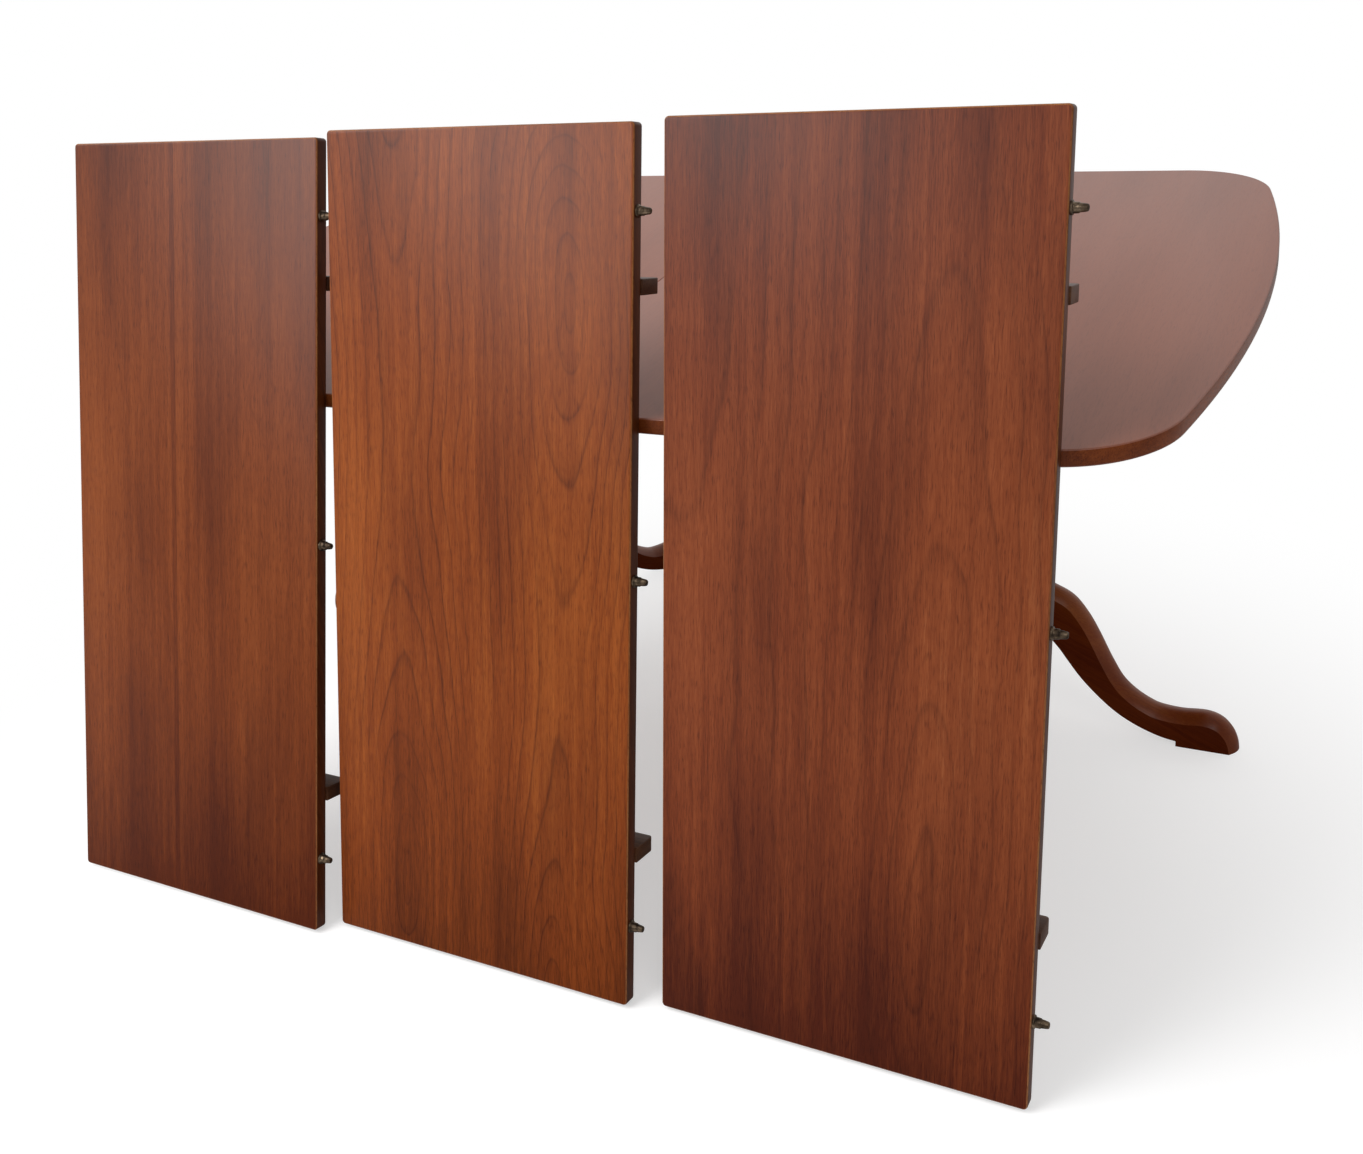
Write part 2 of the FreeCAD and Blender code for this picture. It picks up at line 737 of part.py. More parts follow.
def middle_rail_section():
    half = size.middle_rail_thickness / 2
    low = RAIL_BOTTOM - size.rail_relief
    high = TOP_UNDERSIDE - size.rail_relief
    tongue_z = low + size.tongue_lift
    root = size.tongue_root / 2
    tip = size.tongue_tip / 2
    near = NEST_MIDDLE - half
    far = NEST_MIDDLE + half
    reach = size.rail_spacing + size.tongue_depth
    return [
        (near, low), (far, low),
        (far, tongue_z - root), (far + reach, tongue_z - tip),
        (far + reach, tongue_z + tip), (far, tongue_z + root),
        (far, high), (near, high),
        (near, tongue_z + root), (near - reach, tongue_z + tip),
        (near - reach, tongue_z - tip), (near, tongue_z - root),
    ]


def make_rail(label, section, side):
    body = new_body(label)
    sketch = add_sketch(body, "YZ_Plane", label + "_section")
    add_outline(sketch, [(side * y, z) for y, z in section])
    add_pad(body, sketch, label + "_bar", RAIL_FORMULA, both_ways=True)
    return keep(body)


def make_side_rail(label, side, hand, inner):
    """A rail of the half on the given hand, lowered where it runs under the other half."""
    near = size.nest_inset
    face = near + size.side_rail_thickness
    if not inner:
        face += 2 * size.rail_spacing + size.middle_rail_thickness
        near = face + size.side_rail_thickness
    body = make_rail(label, side_rail_section(face, near, side < 0), side)
    relief = add_sketch(body, "XZ_Plane", label + "_relief")
    far_end = -hand * RAIL_LENGTH / 2
    low = TOP_UNDERSIDE - size.rail_relief
    add_outline(relief, [(0, low), (far_end, low), (far_end, TOP_UNDERSIDE), (0, TOP_UNDERSIDE)])
    add_pocket(body, relief, label + "_relief_cut", "2 * sizes.top_width", both_ways=True)


def add_pinion_window(body):
    """A slot through the geared middle rail for the pinion, and the hole for its axle."""
    window = add_sketch(body, "XZ_Plane", "pinion_window")
    half_x = PITCH_RADIUS + ADDENDUM + size.pinion_window_gap
    half_z = size.rack_height / 2 + size.pinion_side_gap
    add_outline(window, [(-half_x, SLIDE_MIDDLE - half_z), (half_x, SLIDE_MIDDLE - half_z),
                         (half_x, SLIDE_MIDDLE + half_z), (-half_x, SLIDE_MIDDLE + half_z)])
    add_pocket(body, window, "pinion_window_cut", "2 * sizes.top_width", both_ways=True)
    bore_holes(body, "XY_Plane", "axle_hole", [(0, -NEST_MIDDLE)],
               RAIL_BOTTOM - size.rail_relief, size.axle_radius, "sizes.axle_radius",
               "sizes.rail_height", True)


def rack_outline(toward, start, end):
    """Outline of a rack: toward is +1 when the teeth point away from the table's middle line."""
    slope = math.tan(math.radians(PRESSURE_ANGLE))
    pitch_y = NEST_MIDDLE - toward * PITCH_RADIUS
    tip_y = pitch_y + toward * ADDENDUM
    root_y = pitch_y - toward * DEDENDUM
    back_y = root_y - toward * size.rack_backing
    tooth_half = TOOTH_PITCH / 4 - size.gear_backlash / 4
    tip_half = tooth_half - ADDENDUM * slope
    root_half = tooth_half + DEDENDUM * slope
    first = math.ceil((start + root_half) / TOOTH_PITCH - 1 / 2)
    last = math.floor((end - root_half) / TOOTH_PITCH - 1 / 2)
    points = [(start, back_y), (start, root_y)]
    for tooth in range(first, last + 1):
        middle = (tooth + 1 / 2) * TOOTH_PITCH
        points += [(middle - root_half, root_y), (middle - tip_half, tip_y),
                   (middle + tip_half, tip_y), (middle + root_half, root_y)]
    points += [(end, root_y), (end, back_y)]
    low = SLIDE_MIDDLE - size.rack_height / 2
    corners = [Vector(x, -y, low) for x, y in points]
    return Part.makePolygon(corners + corners[:1])


def make_rack(label, toward, hand):
    """The rack starts just past the pinion at rest and runs along the rail's free length."""
    ends = sorted([hand * size.rack_overrun, -hand * (RACK_TRAVEL + size.rack_overrun)])
    rack = document.addObject("Part::Feature", label)
    rack.Label = label
    face = Part.Face(rack_outline(toward, ends[0], ends[1]))
    rack.Shape = face.extrude(Vector(0, 0, size.rack_height))
    return keep(rack)


def involute_point(base_radius, radius, offset):
    """Point of an involute at this radius, turned by offset."""
    pressure = math.acos(base_radius / radius)
    angle = offset + math.tan(pressure) - pressure
    return Vector(radius * math.cos(angle), radius * math.sin(angle), 0)


def make_pinion(label, centre_y):
    alpha = math.radians(PRESSURE_ANGLE)
    base = PITCH_RADIUS * math.cos(alpha)
    outer = PITCH_RADIUS + ADDENDUM
    root = PITCH_RADIUS - DEDENDUM
    half_tooth = (TOOTH_PITCH / 4 - size.gear_backlash / 4) / PITCH_RADIUS
    offset = -(half_tooth + math.tan(alpha) - alpha)
    radii = [base, PITCH_RADIUS, (PITCH_RADIUS + outer) / 2, outer]
    flank = [involute_point(base, radius, offset) for radius in radii]
    flank.insert(0, Vector(root * math.cos(offset), root * math.sin(offset), 0))
    tooth = flank + [Vector(point.x, -point.y, 0) for point in reversed(flank)]
    outline = []
    for number in range(PINION_TEETH):
        turn = Rotation(Vector(0, 0, 1), number * WHOLE_TURN / PINION_TEETH)
        outline += [turn.multVec(point) for point in tooth]
    blank = Part.Face(Part.makePolygon(outline + outline[:1]))
    gear = blank.extrude(Vector(0, 0, size.rack_height))
    bore = Part.makeCylinder(size.axle_radius + size.axle_clearance, size.rack_height)
    pinion = document.addObject("Part::Feature", label)
    pinion.Label = label
    pinion.Shape = gear.cut(bore)
    quarter = WHOLE_TURN / 4
    return keep(pinion, turned(quarter, 0, centre_y, SLIDE_MIDDLE - size.rack_height / 2))


def make_crossbar():
    body = new_body("centre_crossbar")
    sketch = add_sketch(body, "XY_Plane", "crossbar_outline",
                        RAIL_BOTTOM - size.rail_relief - size.crossbar_thickness)
    half_x = size.crossbar_width / 2
    half_y = NEST_MIDDLE + size.middle_rail_thickness / 2
    add_outline(sketch, [(-half_x, -half_y), (half_x, -half_y), (half_x, half_y),
                         (-half_x, half_y)])
    add_pad(body, sketch, "crossbar_board", "sizes.crossbar_thickness")
    return keep(body)


def make_slides():
    for side, nest in [(-1, "front"), (1, "rear")]:
        make_side_rail(nest + "_left_rail", side, -1, True)
        make_side_rail(nest + "_right_rail", side, 1, False)
        middle = make_rail(nest + "_middle_rail", middle_rail_section(), side)
        if side < 0:
            add_pinion_window(middle)
    make_rack("left_rack", 1, -1)
    make_rack("right_rack", -1, 1)
    make_pinion("pinion", -NEST_MIDDLE)
    axle = document.addObject("Part::Cylinder", "pinion_axle")
    axle.setExpression("Radius", "sizes.axle_radius")
    axle.setExpression("Height", "sizes.rail_height")
    keep(axle, shift(0, -NEST_MIDDLE, RAIL_BOTTOM - size.rail_relief))
    make_crossbar()


# Cleats across the underside of each half

def make_cleat(label, length_name, near_x, hand):
    cleat = document.addObject("Part::Box", label)
    cleat.Label = label
    cleat.setExpression("Length", "sizes.cleat_width")
    cleat.setExpression("Width", "sizes." + length_name)
    cleat.setExpression("Height", "sizes.cleat_thickness")
    left = min(hand * near_x, hand * (near_x + size.cleat_width))
    return keep(cleat, shift(left, -getattr(size, length_name) / 2,
                             TOP_UNDERSIDE - size.cleat_thickness))


def make_cleats():
    end_x = HALF_LENGTH - size.end_cleat_inset - size.cleat_width
    for name, hand in [("left", -1), ("right", 1)]:
        make_cleat(name + "_end_cleat", "end_cleat_length", end_x, hand)
        make_cleat(name + "_centre_cleat", "centre_cleat_length", size.centre_cleat_inset, hand)


# Table locks: base plates and hooked levers under the left half, posts under the right half. Each
# lever stands open at rest, turned out toward its long edge of the table.

def lock_pivot_x():
    return -HALF_SPLIT - size.lock_plate_inset - size.lock_plate_length / 2


def keeper_post_x():
    return HALF_SPLIT + size.keeper_inset + size.keeper_length / 2


def lock_levels():
    """Underside of the base plate, and the underside of the lever."""
    plate = TOP_UNDERSIDE - size.lock_plate_thickness
    return plate, plate - size.lever_drop - size.lever_thickness


def centred_plate(length, width):
    plate_z = lock_levels()[0]
    plate = Part.makeBox(length, width, size.lock_plate_thickness)
    plate.translate(Vector(-length / 2, -width / 2, plate_z))
    return plate


def make_lock_plate():
    """A plate with a headed pivot, which carries the lever just above its head."""
    plate_z, lever_z = lock_levels()
    low = lever_z - size.lock_clearance
    pin = Part.makeCylinder(size.lock_pivot_radius, plate_z - low, Vector(0, 0, low))
    head = Part.makeCylinder(size.lock_head_radius, size.lock_head_thickness,
                             Vector(0, 0, low - size.lock_head_thickness))
    return centred_plate(size.lock_plate_length, size.lock_plate_width).fuse([pin, head])


def make_keeper_post():
    """The post that the hook closes round, riveted to its plate."""
    plate_z, lever_z = lock_levels()
    low = lever_z - size.keeper_post_overrun
    return Part.makeCylinder(size.keeper_post_radius, plate_z - low, Vector(0, 0, low))


def make_lever(label, side, placement):
    """A lever with its hook along +X when it is locked. side is the way in which the mouth shuts."""
    def hook_point(radius, angle):
        turn = math.radians(angle)
        return (radius * math.cos(turn), side * radius * math.sin(turn))

    reach = keeper_post_x() - lock_pivot_x()
    inner = reach + size.keeper_post_radius + size.hook_play
    outer = inner + size.hook_width
    throat = reach - size.keeper_post_radius - size.hook_throat_gap
    boss = side * size.lever_boss_width / 2
    tail = side * size.lever_tail_width / 2
    tail_x = size.lever_tail_width / 2 - size.lever_tail_length
    body = new_body(label)
    sketch = add_sketch(body, "XY_Plane", label + "_outline", lock_levels()[1])
    mouth = hook_point(outer, HOOK_MOUTH)
    add_path(sketch, mouth, [
        [hook_point(outer, (HOOK_MOUTH + HOOK_SHOULDER) / 2), hook_point(outer, HOOK_SHOULDER)],
        [(0, boss)],
        [(tail_x, tail)],
        [(-size.lever_tail_length, 0), (tail_x, -tail)],
        [(0, -boss)],
        [hook_point(throat, HOOK_BACK)],
        [hook_point(inner, HOOK_BACK)],
        [hook_point(inner, (HOOK_BACK + HOOK_MOUTH) / 2), hook_point(inner, HOOK_MOUTH)],
        [mouth],
    ])
    add_circle(sketch, (0, 0), size.lock_pivot_radius + size.axle_clearance,
               "sizes.lock_pivot_radius + sizes.axle_clearance")
    add_pad(body, sketch, label + "_bar", "sizes.lever_thickness")
    return keep(body, placement)


def make_locks():
    plates = []
    posts = []
    for side, name in [(-1, "front"), (1, "rear")]:
        centre = side * (HALF_WIDTH - size.lock_edge_inset)
        plates.append(shift(lock_pivot_x(), centre, 0))
        posts.append(shift(keeper_post_x(), centre, 0))
        make_lever(name + "_lock_lever", side,
                   turned(side * WHOLE_TURN / 4, lock_pivot_x(), centre))
    keep_group("lock_plates", copies(make_lock_plate(), plates))
    keep_group("keeper_plates",
               copies(centred_plate(size.keeper_length, size.keeper_width), posts))
    keep_group("keeper_posts", copies(make_keeper_post(), posts))


def check_and_export():
    document.recompute()
    for item in document.Objects:
        if "Invalid" in item.State or "Error" in item.State:
            raise RuntimeError("%s did not compute: %s" % (item.Label, item.State))
    os.makedirs("parts", exist_ok=True)
    for part in nodes:
        shape = part.Shape
        if shape.isNull() or not shape.isValid() or shape.Volume <= 0:
            raise RuntimeError("%s has no valid solid" % part.Label)
        shape.exportStep("parts/%s.step" % part.Label)
        print("%-24s %2d solids %12.0f mm3" % (part.Label, len(shape.Solids), shape.Volume))
    print(len(nodes), "nodes")


joint_pin = make_pin()
document.recompute()
make_tops(joint_pin)
make_leaves(joint_pin)
make_pedestals()
make_slides()
make_cleats()
make_locks()
check_and_export()
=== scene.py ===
import math
from collections import namedtuple

import bmesh
import bpy
from mathutils import Matrix, Vector


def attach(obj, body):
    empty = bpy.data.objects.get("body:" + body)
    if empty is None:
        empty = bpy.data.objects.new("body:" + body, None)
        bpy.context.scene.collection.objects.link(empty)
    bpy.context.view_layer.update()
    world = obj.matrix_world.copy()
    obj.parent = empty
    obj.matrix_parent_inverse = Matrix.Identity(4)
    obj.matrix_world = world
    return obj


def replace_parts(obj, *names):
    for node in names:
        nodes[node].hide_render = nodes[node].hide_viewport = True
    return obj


# Double pedestal dining table, closed, with three loose leaves that lean against its near long
# edge. The rounded arrises, crowned legs, turned columns, brass pins and wood screws are made
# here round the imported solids, and every finish is a procedural material. Lengths are metres.

MM = 0.001

# The two half tops
TOP_HEIGHT = 730 * MM
BOARD_THICKNESS = 22 * MM
BOARD_MIDDLE = TOP_HEIGHT - BOARD_THICKNESS / 2
TOP_UNDERSIDE = TOP_HEIGHT - BOARD_THICKNESS
HALF_LENGTH = 856 * MM
HALF_WIDTH = 559 * MM
CORNER_RADIUS = 140 * MM
END_BOW = 68 * MM
HALF_SPLIT = 0.15 * MM
UPPER_ARRIS = 2.2 * MM
LOWER_ARRIS = 4 * MM
# The joint edge is eased by this share of what the rim is
JOINT_EASE_SHARE = 0.3
# Points along the straight sides, so that the faces of the rim stay short
SIDE_POINT_SHARES = (0.25, 0.5, 0.75)

# Leaves, pins and bearers
LEAF_COUNT = 3
LEAF_WIDTH = 457 * MM
LEAF_ARRIS = 2 * MM
LEAF_WORN_ARRIS = 2.6 * MM
LEAF_CORNER = 5.5 * MM
LEAF_LEANS = [math.radians(18.4), math.radians(16.4), math.radians(15.1)]
LEAF_LEFTS = [-732 * MM, -250 * MM, 249 * MM]
LEAF_REST_GAP = 0.3 * MM
PIN_INSET = 105 * MM
PIN_PLACES = [-HALF_WIDTH + PIN_INSET, 0, HALF_WIDTH - PIN_INSET]
SOCKET_RADIUS = 8.4 * MM
SOCKET_DEPTH = 18.4 * MM
BEARER_DEPTH = 46 * MM
BEARER_PLACE = 362.6 * MM
BEARER_ARRIS = 1.2 * MM

# Pedestals
COLUMN_X = 411 * MM
DRUM_RADIUS = 60 * MM
CAP_THICKNESS = 38 * MM
CAP_UNDERSIDE = TOP_UNDERSIDE - CAP_THICKNESS
CAP_ARRIS = 1.5 * MM
LEG_REACH = 432 * MM
LEG_RISE = 240 * MM
LEG_ROOT_X = 55 * MM
LEG_ROOT_Z = 184 * MM
LEG_PAD_START = 344 * MM
LEG_PAD_HEIGHT = 9 * MM
LEG_CROWN = 12 * MM
LEG_THICKNESS = 44 * MM
LEG_SPACING = 120
LEG_GRAIN_SLOPE = 28

# How finely the curves are cut
CORNER_STEPS = 24
BOW_STEPS = 48
RIM_STEPS = 4
LEAF_CORNER_STEPS = 6
LEAF_ARRIS_STEPS = 4
COLUMN_CURVE_STEPS = 8
CREASE_STEPS = 5
UNDER_STEPS = 4
CROWN_STEPS = 16
COLUMN_SEGMENTS = 96
PIN_SEGMENTS = 40
SCREW_SEGMENTS = 24

# How squarely a face looks out of the board, or across the leg, where one finish gives way to
# the next, as the cosine of its angle
# The pale show arrises: wear together with a painted highlight
WORN_AND_HIGHLIT_ARRIS_FACING = (0.45, 0.9)
LEAF_EDGE_FACING = 0.6
TOP_EDGE_FACING = 0.5
LEG_SIDE_FACING = 0.98

RIGHTWARD = Vector((1, 0, 0))
DOWNWARD = Vector((0, 0, -1))
MERGE_DISTANCE = 0.01 * MM


def leaf_foot(lean):
    """Where a leaf stands, in front of the middle of the table, and how far its arris drops."""
    drop = LEAF_ARRIS * math.sin(lean)
    reach = -HALF_WIDTH * math.cos(lean) - (TOP_HEIGHT - LEAF_ARRIS) * math.sin(lean)
    return (reach - LEAF_REST_GAP - drop * math.sin(lean)) / math.cos(lean), -drop


# The table stands back from the origin, which is under the middle of the whole group
STEEPEST = max(LEAF_LEANS)
SET_BACK = -(leaf_foot(STEEPEST)[0] - BOARD_THICKNESS * math.cos(STEEPEST)
             + LEAF_ARRIS * math.sin(STEEPEST) + HALF_WIDTH) / 2


def leaf_matrix(number):
    """A leaf's frame: X along its width, Z along its length, the underside at Y = 0."""
    lean = LEAF_LEANS[number]
    foot, low = leaf_foot(lean)
    return (Matrix.Translation((LEAF_LEFTS[number], foot + SET_BACK, low))
            @ Matrix.Rotation(-lean, 4, "X"))


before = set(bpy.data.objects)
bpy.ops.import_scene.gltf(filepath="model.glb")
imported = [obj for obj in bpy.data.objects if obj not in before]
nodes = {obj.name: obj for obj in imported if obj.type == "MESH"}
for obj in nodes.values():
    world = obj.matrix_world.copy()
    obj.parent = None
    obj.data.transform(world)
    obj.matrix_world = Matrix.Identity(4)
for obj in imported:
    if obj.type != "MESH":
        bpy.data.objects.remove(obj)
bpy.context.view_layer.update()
scene = bpy.context.scene


# Nodes and materials

def add(tree, kind, sockets=None, stops=(), **settings):
    """A node with its settings, and its sockets given a value or linked to another node."""
    node = tree.nodes.new(kind)
    for key, value in settings.items():
        setattr(node, key, value)
    for key, value in (sockets or {}).items():
        if isinstance(value, bpy.types.Node):
            value = value.outputs[0]
        if isinstance(value, bpy.types.NodeSocket):
            tree.links.new(value, node.inputs[key])
        else:
            node.inputs[key].default_value = value
    for k, (place, colour) in enumerate(stops):
        if k >= len(node.color_ramp.elements):
            node.color_ramp.elements.new(place)
        node.color_ramp.elements[k].position = place
        node.color_ramp.elements[k].color = (linear(colour) if isinstance(colour, str)
                                             else (colour, colour, colour, 1))
    return node


def linear(code):
    """A colour written as sRGB hex, as the shader needs it."""
    parts = [int(code[k:k + 2], 16) / 255 for k in (1, 3, 5)]
    parts = [c / 12.92 if c <= 0.04045 else ((c + 0.055) / 1.055) ** 2.4 for c in parts]
    return tuple(parts) + (1.0,)


def new_material(name):
    material = bpy.data.materials.new(name)
    material.use_nodes = True
    material.node_tree.nodes.clear()
    return material, material.node_tree


# Layers of the wood's pattern: size across, deep and along the grain in mm, detail, roughness.
# Drift and wobble move the rings, patch fades them, cloud, ribbon and fibre mottle the tone, cool
# greys it, and sway bends the fibres. Pores are 0.3 mm wide on the real wood and are drawn wider,
# so that they show.
WOOD_LAYERS = {
    "drift": ((260, 260, 520), 2.0, 0.50),
    "wobble": ((45, 60, 170), 3.0, 0.50),
    "patch": ((75, 75, 280), 2.0, 0.50),
    "cloud": ((110, 110, 620), 2.0, 0.50),
    "cool": ((70, 70, 520), 2.0, 0.50),
    "sway": ((14, 40, 26), 1.0, 0.50),
    "ribbon": ((11, 20, 1600), 3.0, 0.60),
    "fibre": ((1.5, 2.4, 38), 3.0, 0.66),
    "pore": ((1.1, 1.6, 16), 2.0, 0.55),
}
# Each layer reads its noise this much further on than the last, so that no two are alike
LAYER_OFFSETS = (3.1, 1.7, 0.9)
# How far the noise moves the rings, and how high up a leaf its middle is taken to be, from where
# the painted shade towards the ends grows
WOOD_LENGTHS = {
    "depth drift": 40 * MM,
    "side drift": 70 * MM,
    "half side drift": 35 * MM,
    "wobble reach": 7 * MM,
    "sway reach": 3 * MM,
    "mid height": 620 * MM,
}

# The rings are cylinders about the tree's heart, which bends away from the plank's face towards
# both ends of the plank, so that they come out on the face as arches. Each line gives a result,
# how it is reckoned, and from what.
RING_SUMS = [
    ("rise", "SUBTRACT", "along", "middle"),
    ("rise", "MULTIPLY", "rise", "rise"),
    ("rise", "MULTIPLY", "rise", "bend"),
    ("below", "SUBTRACT", "depth", "rise"),
    ("below", "ADD", "below", "deep"),
    ("below", "MULTIPLY_ADD", "drift", "depth drift", "below"),
    ("side", "SUBTRACT", "across", "heart"),
    ("side", "MULTIPLY_ADD", "drift", "side drift", "side"),
    ("side", "SUBTRACT", "side", "half side drift"),
    ("side", "MULTIPLY", "side", "side"),
    ("below", "MULTIPLY_ADD", "below", "below", "side"),
    ("radius", "SQRT", "below"),
    ("radius", "MULTIPLY_ADD", "wobble", "wobble reach", "radius"),
    ("year", "DIVIDE", "radius", "ring size"),
    ("year", "FRACT", "year"),
]
# The tone is the plank's own, mottled by the layers, with painted shade towards the ends and a
# painted sheen towards one side
TONE_SUMS = [
    ("mixed", "ADD", "tone", "level"),
    ("mixed", "MULTIPLY_ADD", "ribbon", "ribbon weight", "mixed"),
    ("mixed", "MULTIPLY_ADD", "cloud", "cloud weight", "mixed"),
    ("mixed", "MULTIPLY_ADD", "fibre", "fibre weight", "mixed"),
    ("ends", "SUBTRACT", "along", "mid height"),
    ("ends", "MULTIPLY", "ends", "ends"),
    ("mixed", "MULTIPLY_ADD", "ends", "painted end shade", "mixed"),
    ("mixed", "MULTIPLY_ADD", "across", "painted side sheen", "mixed"),
    ("line", "MULTIPLY", "line", "strength"),
    ("line", "MULTIPLY", "line", "figure"),
]
TONE_WEIGHTS = {"ribbon": 0.28, "cloud": 0.36, "fibre": 0.38}
PLANK_LEVEL = 0.57
# Where the four tones of a wood stand, from its darkest to its lightest
TONE_PLACES = (0.26, 0.42, 0.58, 0.76)
# One year's growth: pale early wood, then the dark line of the late wood
YEAR_STOPS = [(0.0, 0.15), (0.08, 0.0), (0.55, 0.05), (0.84, 0.28), (0.94, 1.0), (1.0, 0.15)]
PATCH_STOPS = [(0.32, 0.30), (0.60, 1.0)]
# Pores open where their layer is low, and the wood cools where that layer is high
PORE_PLACES = (0.31, 0.47)
PORE_SHADE = 0.52
COOL_PLACES = (0.46, 0.70)
COOL_SHADE = 0.55
LINE_TINT = "#6E4A3C"
PORE_TINT = "#8C6658"
COOL_TINT = "#C2B2AE"
LACQUER_IOR = 1.48
FIBRE_ROUGHNESS = 0.10
PORE_RELIEF = -0.7
WOOD_RELIEF = 0.12 * MM
WOOD_RELIEF_STRENGTH = 0.18

# A plank of a glued-up board: where its left edge and the tree's heart lie across the board, how
# deep the heart is under the face, where along the board it comes nearest, how much it bends
# away from there, and how light the plank is
Plank = namedtuple("Plank", "left heart depth middle bend tone")
# A small piece is all one plank, cut well away from the heart
ONE_PIECE = Plank(-2.0, 0.0, 0.30, 0.0, 0.0, -0.10)


def lay_planks(tree, planks, known):
    """Gives each place across the board the values of the plank that it lies in."""
    for key in Plank._fields[1:]:
        value = getattr(planks[0], key)
        for before, plank in zip(planks, planks[1:]):
            past = add(tree, "ShaderNodeMath", {0: known["across"], 1: plank.left},
                       operation="GREATER_THAN")
            change = getattr(plank, key) - getattr(before, key)
            value = add(tree, "ShaderNodeMath", {0: past, 1: change, 2: value},
                        operation="MULTIPLY_ADD")
        known[key] = value


def grow_layers(tree, place, known):
    """The noise layers of the wood. From the ribbons on, its interlocked fibres sway."""
    for index, (layer, (size, detail, rough)) in enumerate(WOOD_LAYERS.items()):
        if layer == "ribbon":
            swing = add(tree, "ShaderNodeMath", {0: known["sway"], 1: known["sway reach"],
                                                 2: known["across"]}, operation="MULTIPLY_ADD")
            place = add(tree, "ShaderNodeCombineXYZ", {"X": swing, "Y": known["deep"],
                                                       "Z": known["along"]})
        sized = add(tree, "ShaderNodeMapping",
                    {"Vector": place, "Location": [index * offset for offset in LAYER_OFFSETS],
                     "Scale": [1 / (part * MM) for part in size]})
        known[layer] = add(tree, "ShaderNodeTexNoise",
                           {"Vector": sized, "Scale": 1.0, "Detail": detail, "Roughness": rough})


def mahogany(name, origin, turn, planks, tones, rings=7.0, figure=0.5, painted_end_shade=0.0,
             painted_side_sheen=0.0, roughness=0.40, lustre=0.18, upper_lustre=0.0, liveliness=1.0):
    """Mahogany under satin lacquer, with the grain along the local Z of a frame at origin.

    rings is the width of a ring in mm, and figure how dark the ring lines are. The end shade is
    painted shade towards the ends of the wood, and the side shade a painted sheen towards its
    right side: each lightens the wood there, or darkens it below zero.
    lustre is how strongly the lacquer shines at the foot, and upper_lustre how much more it does
    for each metre up. liveliness is how much the tone, the patches and the pores vary.
    The eye gets smooth red-brown ribbons, cooler patches, thin dark ring lines and fine pores."""
    material, tree = new_material(name)
    coords = add(tree, "ShaderNodeTexCoord")
    local = add(tree, "ShaderNodeMapping", {"Vector": coords.outputs["Object"],
                                            "Location": origin, "Rotation": turn},
                vector_type="TEXTURE")
    axes = add(tree, "ShaderNodeSeparateXYZ", {"Vector": local})
    known = {"across": axes.outputs["X"], "deep": axes.outputs["Y"], "along": axes.outputs["Z"],
             "ring size": rings * MM, "figure": figure, "painted end shade": painted_end_shade,
             "painted side sheen": painted_side_sheen,
             "level": PLANK_LEVEL - liveliness * sum(TONE_WEIGHTS.values()) / 2}
    known.update(WOOD_LENGTHS)
    for layer, weight in TONE_WEIGHTS.items():
        known[layer + " weight"] = liveliness * weight
    lay_planks(tree, planks, known)
    grow_layers(tree, local, known)
    for result, operation, *terms in RING_SUMS:
        known[result] = add(tree, "ShaderNodeMath",
                            {k: known[term] for k, term in enumerate(terms)},
                            operation=operation)
    known["line"] = add(tree, "ShaderNodeValToRGB", {"Fac": known["year"]}, YEAR_STOPS)
    known["strength"] = add(tree, "ShaderNodeValToRGB", {"Fac": known["patch"]}, PATCH_STOPS)
    for result, operation, *terms in TONE_SUMS:
        known[result] = add(tree, "ShaderNodeMath",
                            {k: known[term] for k, term in enumerate(terms)},
                            operation=operation)
    pores = add(tree, "ShaderNodeValToRGB", {"Fac": known["pore"]},
                zip(PORE_PLACES, (PORE_SHADE * liveliness, 0.0)))
    cooled = add(tree, "ShaderNodeValToRGB", {"Fac": known["cool"]},
                 zip(COOL_PLACES, (0.0, COOL_SHADE * liveliness)))
    colour = add(tree, "ShaderNodeValToRGB", {"Fac": known["mixed"]}, zip(TONE_PLACES, tones))
    for factor, tint in ((cooled, COOL_TINT), (known["line"], LINE_TINT), (pores, PORE_TINT)):
        mixed = add(tree, "ShaderNodeMix", {"Factor": factor, 6: colour, 7: linear(tint)},
                    data_type="RGBA", blend_type="MULTIPLY")
        colour = mixed.outputs[2]
    rough = add(tree, "ShaderNodeMath", {0: known["fibre"], 1: FIBRE_ROUGHNESS,
                                         2: roughness - FIBRE_ROUGHNESS / 2},
                operation="MULTIPLY_ADD")
    shine = lustre
    if upper_lustre:
        shine = add(tree, "ShaderNodeMath", {0: known["along"], 1: upper_lustre, 2: lustre},
                    operation="MULTIPLY_ADD")
    height = add(tree, "ShaderNodeMath", {0: pores, 1: PORE_RELIEF, 2: known["fibre"]},
                 operation="MULTIPLY_ADD")
    bump = add(tree, "ShaderNodeBump", {"Height": height, "Strength": WOOD_RELIEF_STRENGTH,
                                        "Distance": WOOD_RELIEF})
    shader = add(tree, "ShaderNodeBsdfPrincipled",
                 {"Base Color": colour, "Roughness": rough, "IOR": LACQUER_IOR,
                  "Specular IOR Level": shine, "Normal": bump})
    add(tree, "ShaderNodeOutputMaterial", {"Surface": shader})
    return material


# Layers of the maple: its growth lines, then its pores, as size across, deep and along in mm, and
# detail. The pores are drawn wider than they are, so that they show.
MAPLE_LAYERS = [((9, 9, 420), 4.0), ((1.2, 1.2, 16), 2.0)]
MAPLE_STOPS = [(0.30, "#A87A48"), (0.50, "#C2986A"), (0.72, "#CFAE84")]
MAPLE_PORE_STOPS = [(0.30, 0.72), (0.46, 1.0)]
MAPLE_ROUGHNESS = 0.52
MAPLE_RELIEF = 0.1 * MM
MAPLE_RELIEF_STRENGTH = 0.2
WAX_IOR = 1.5


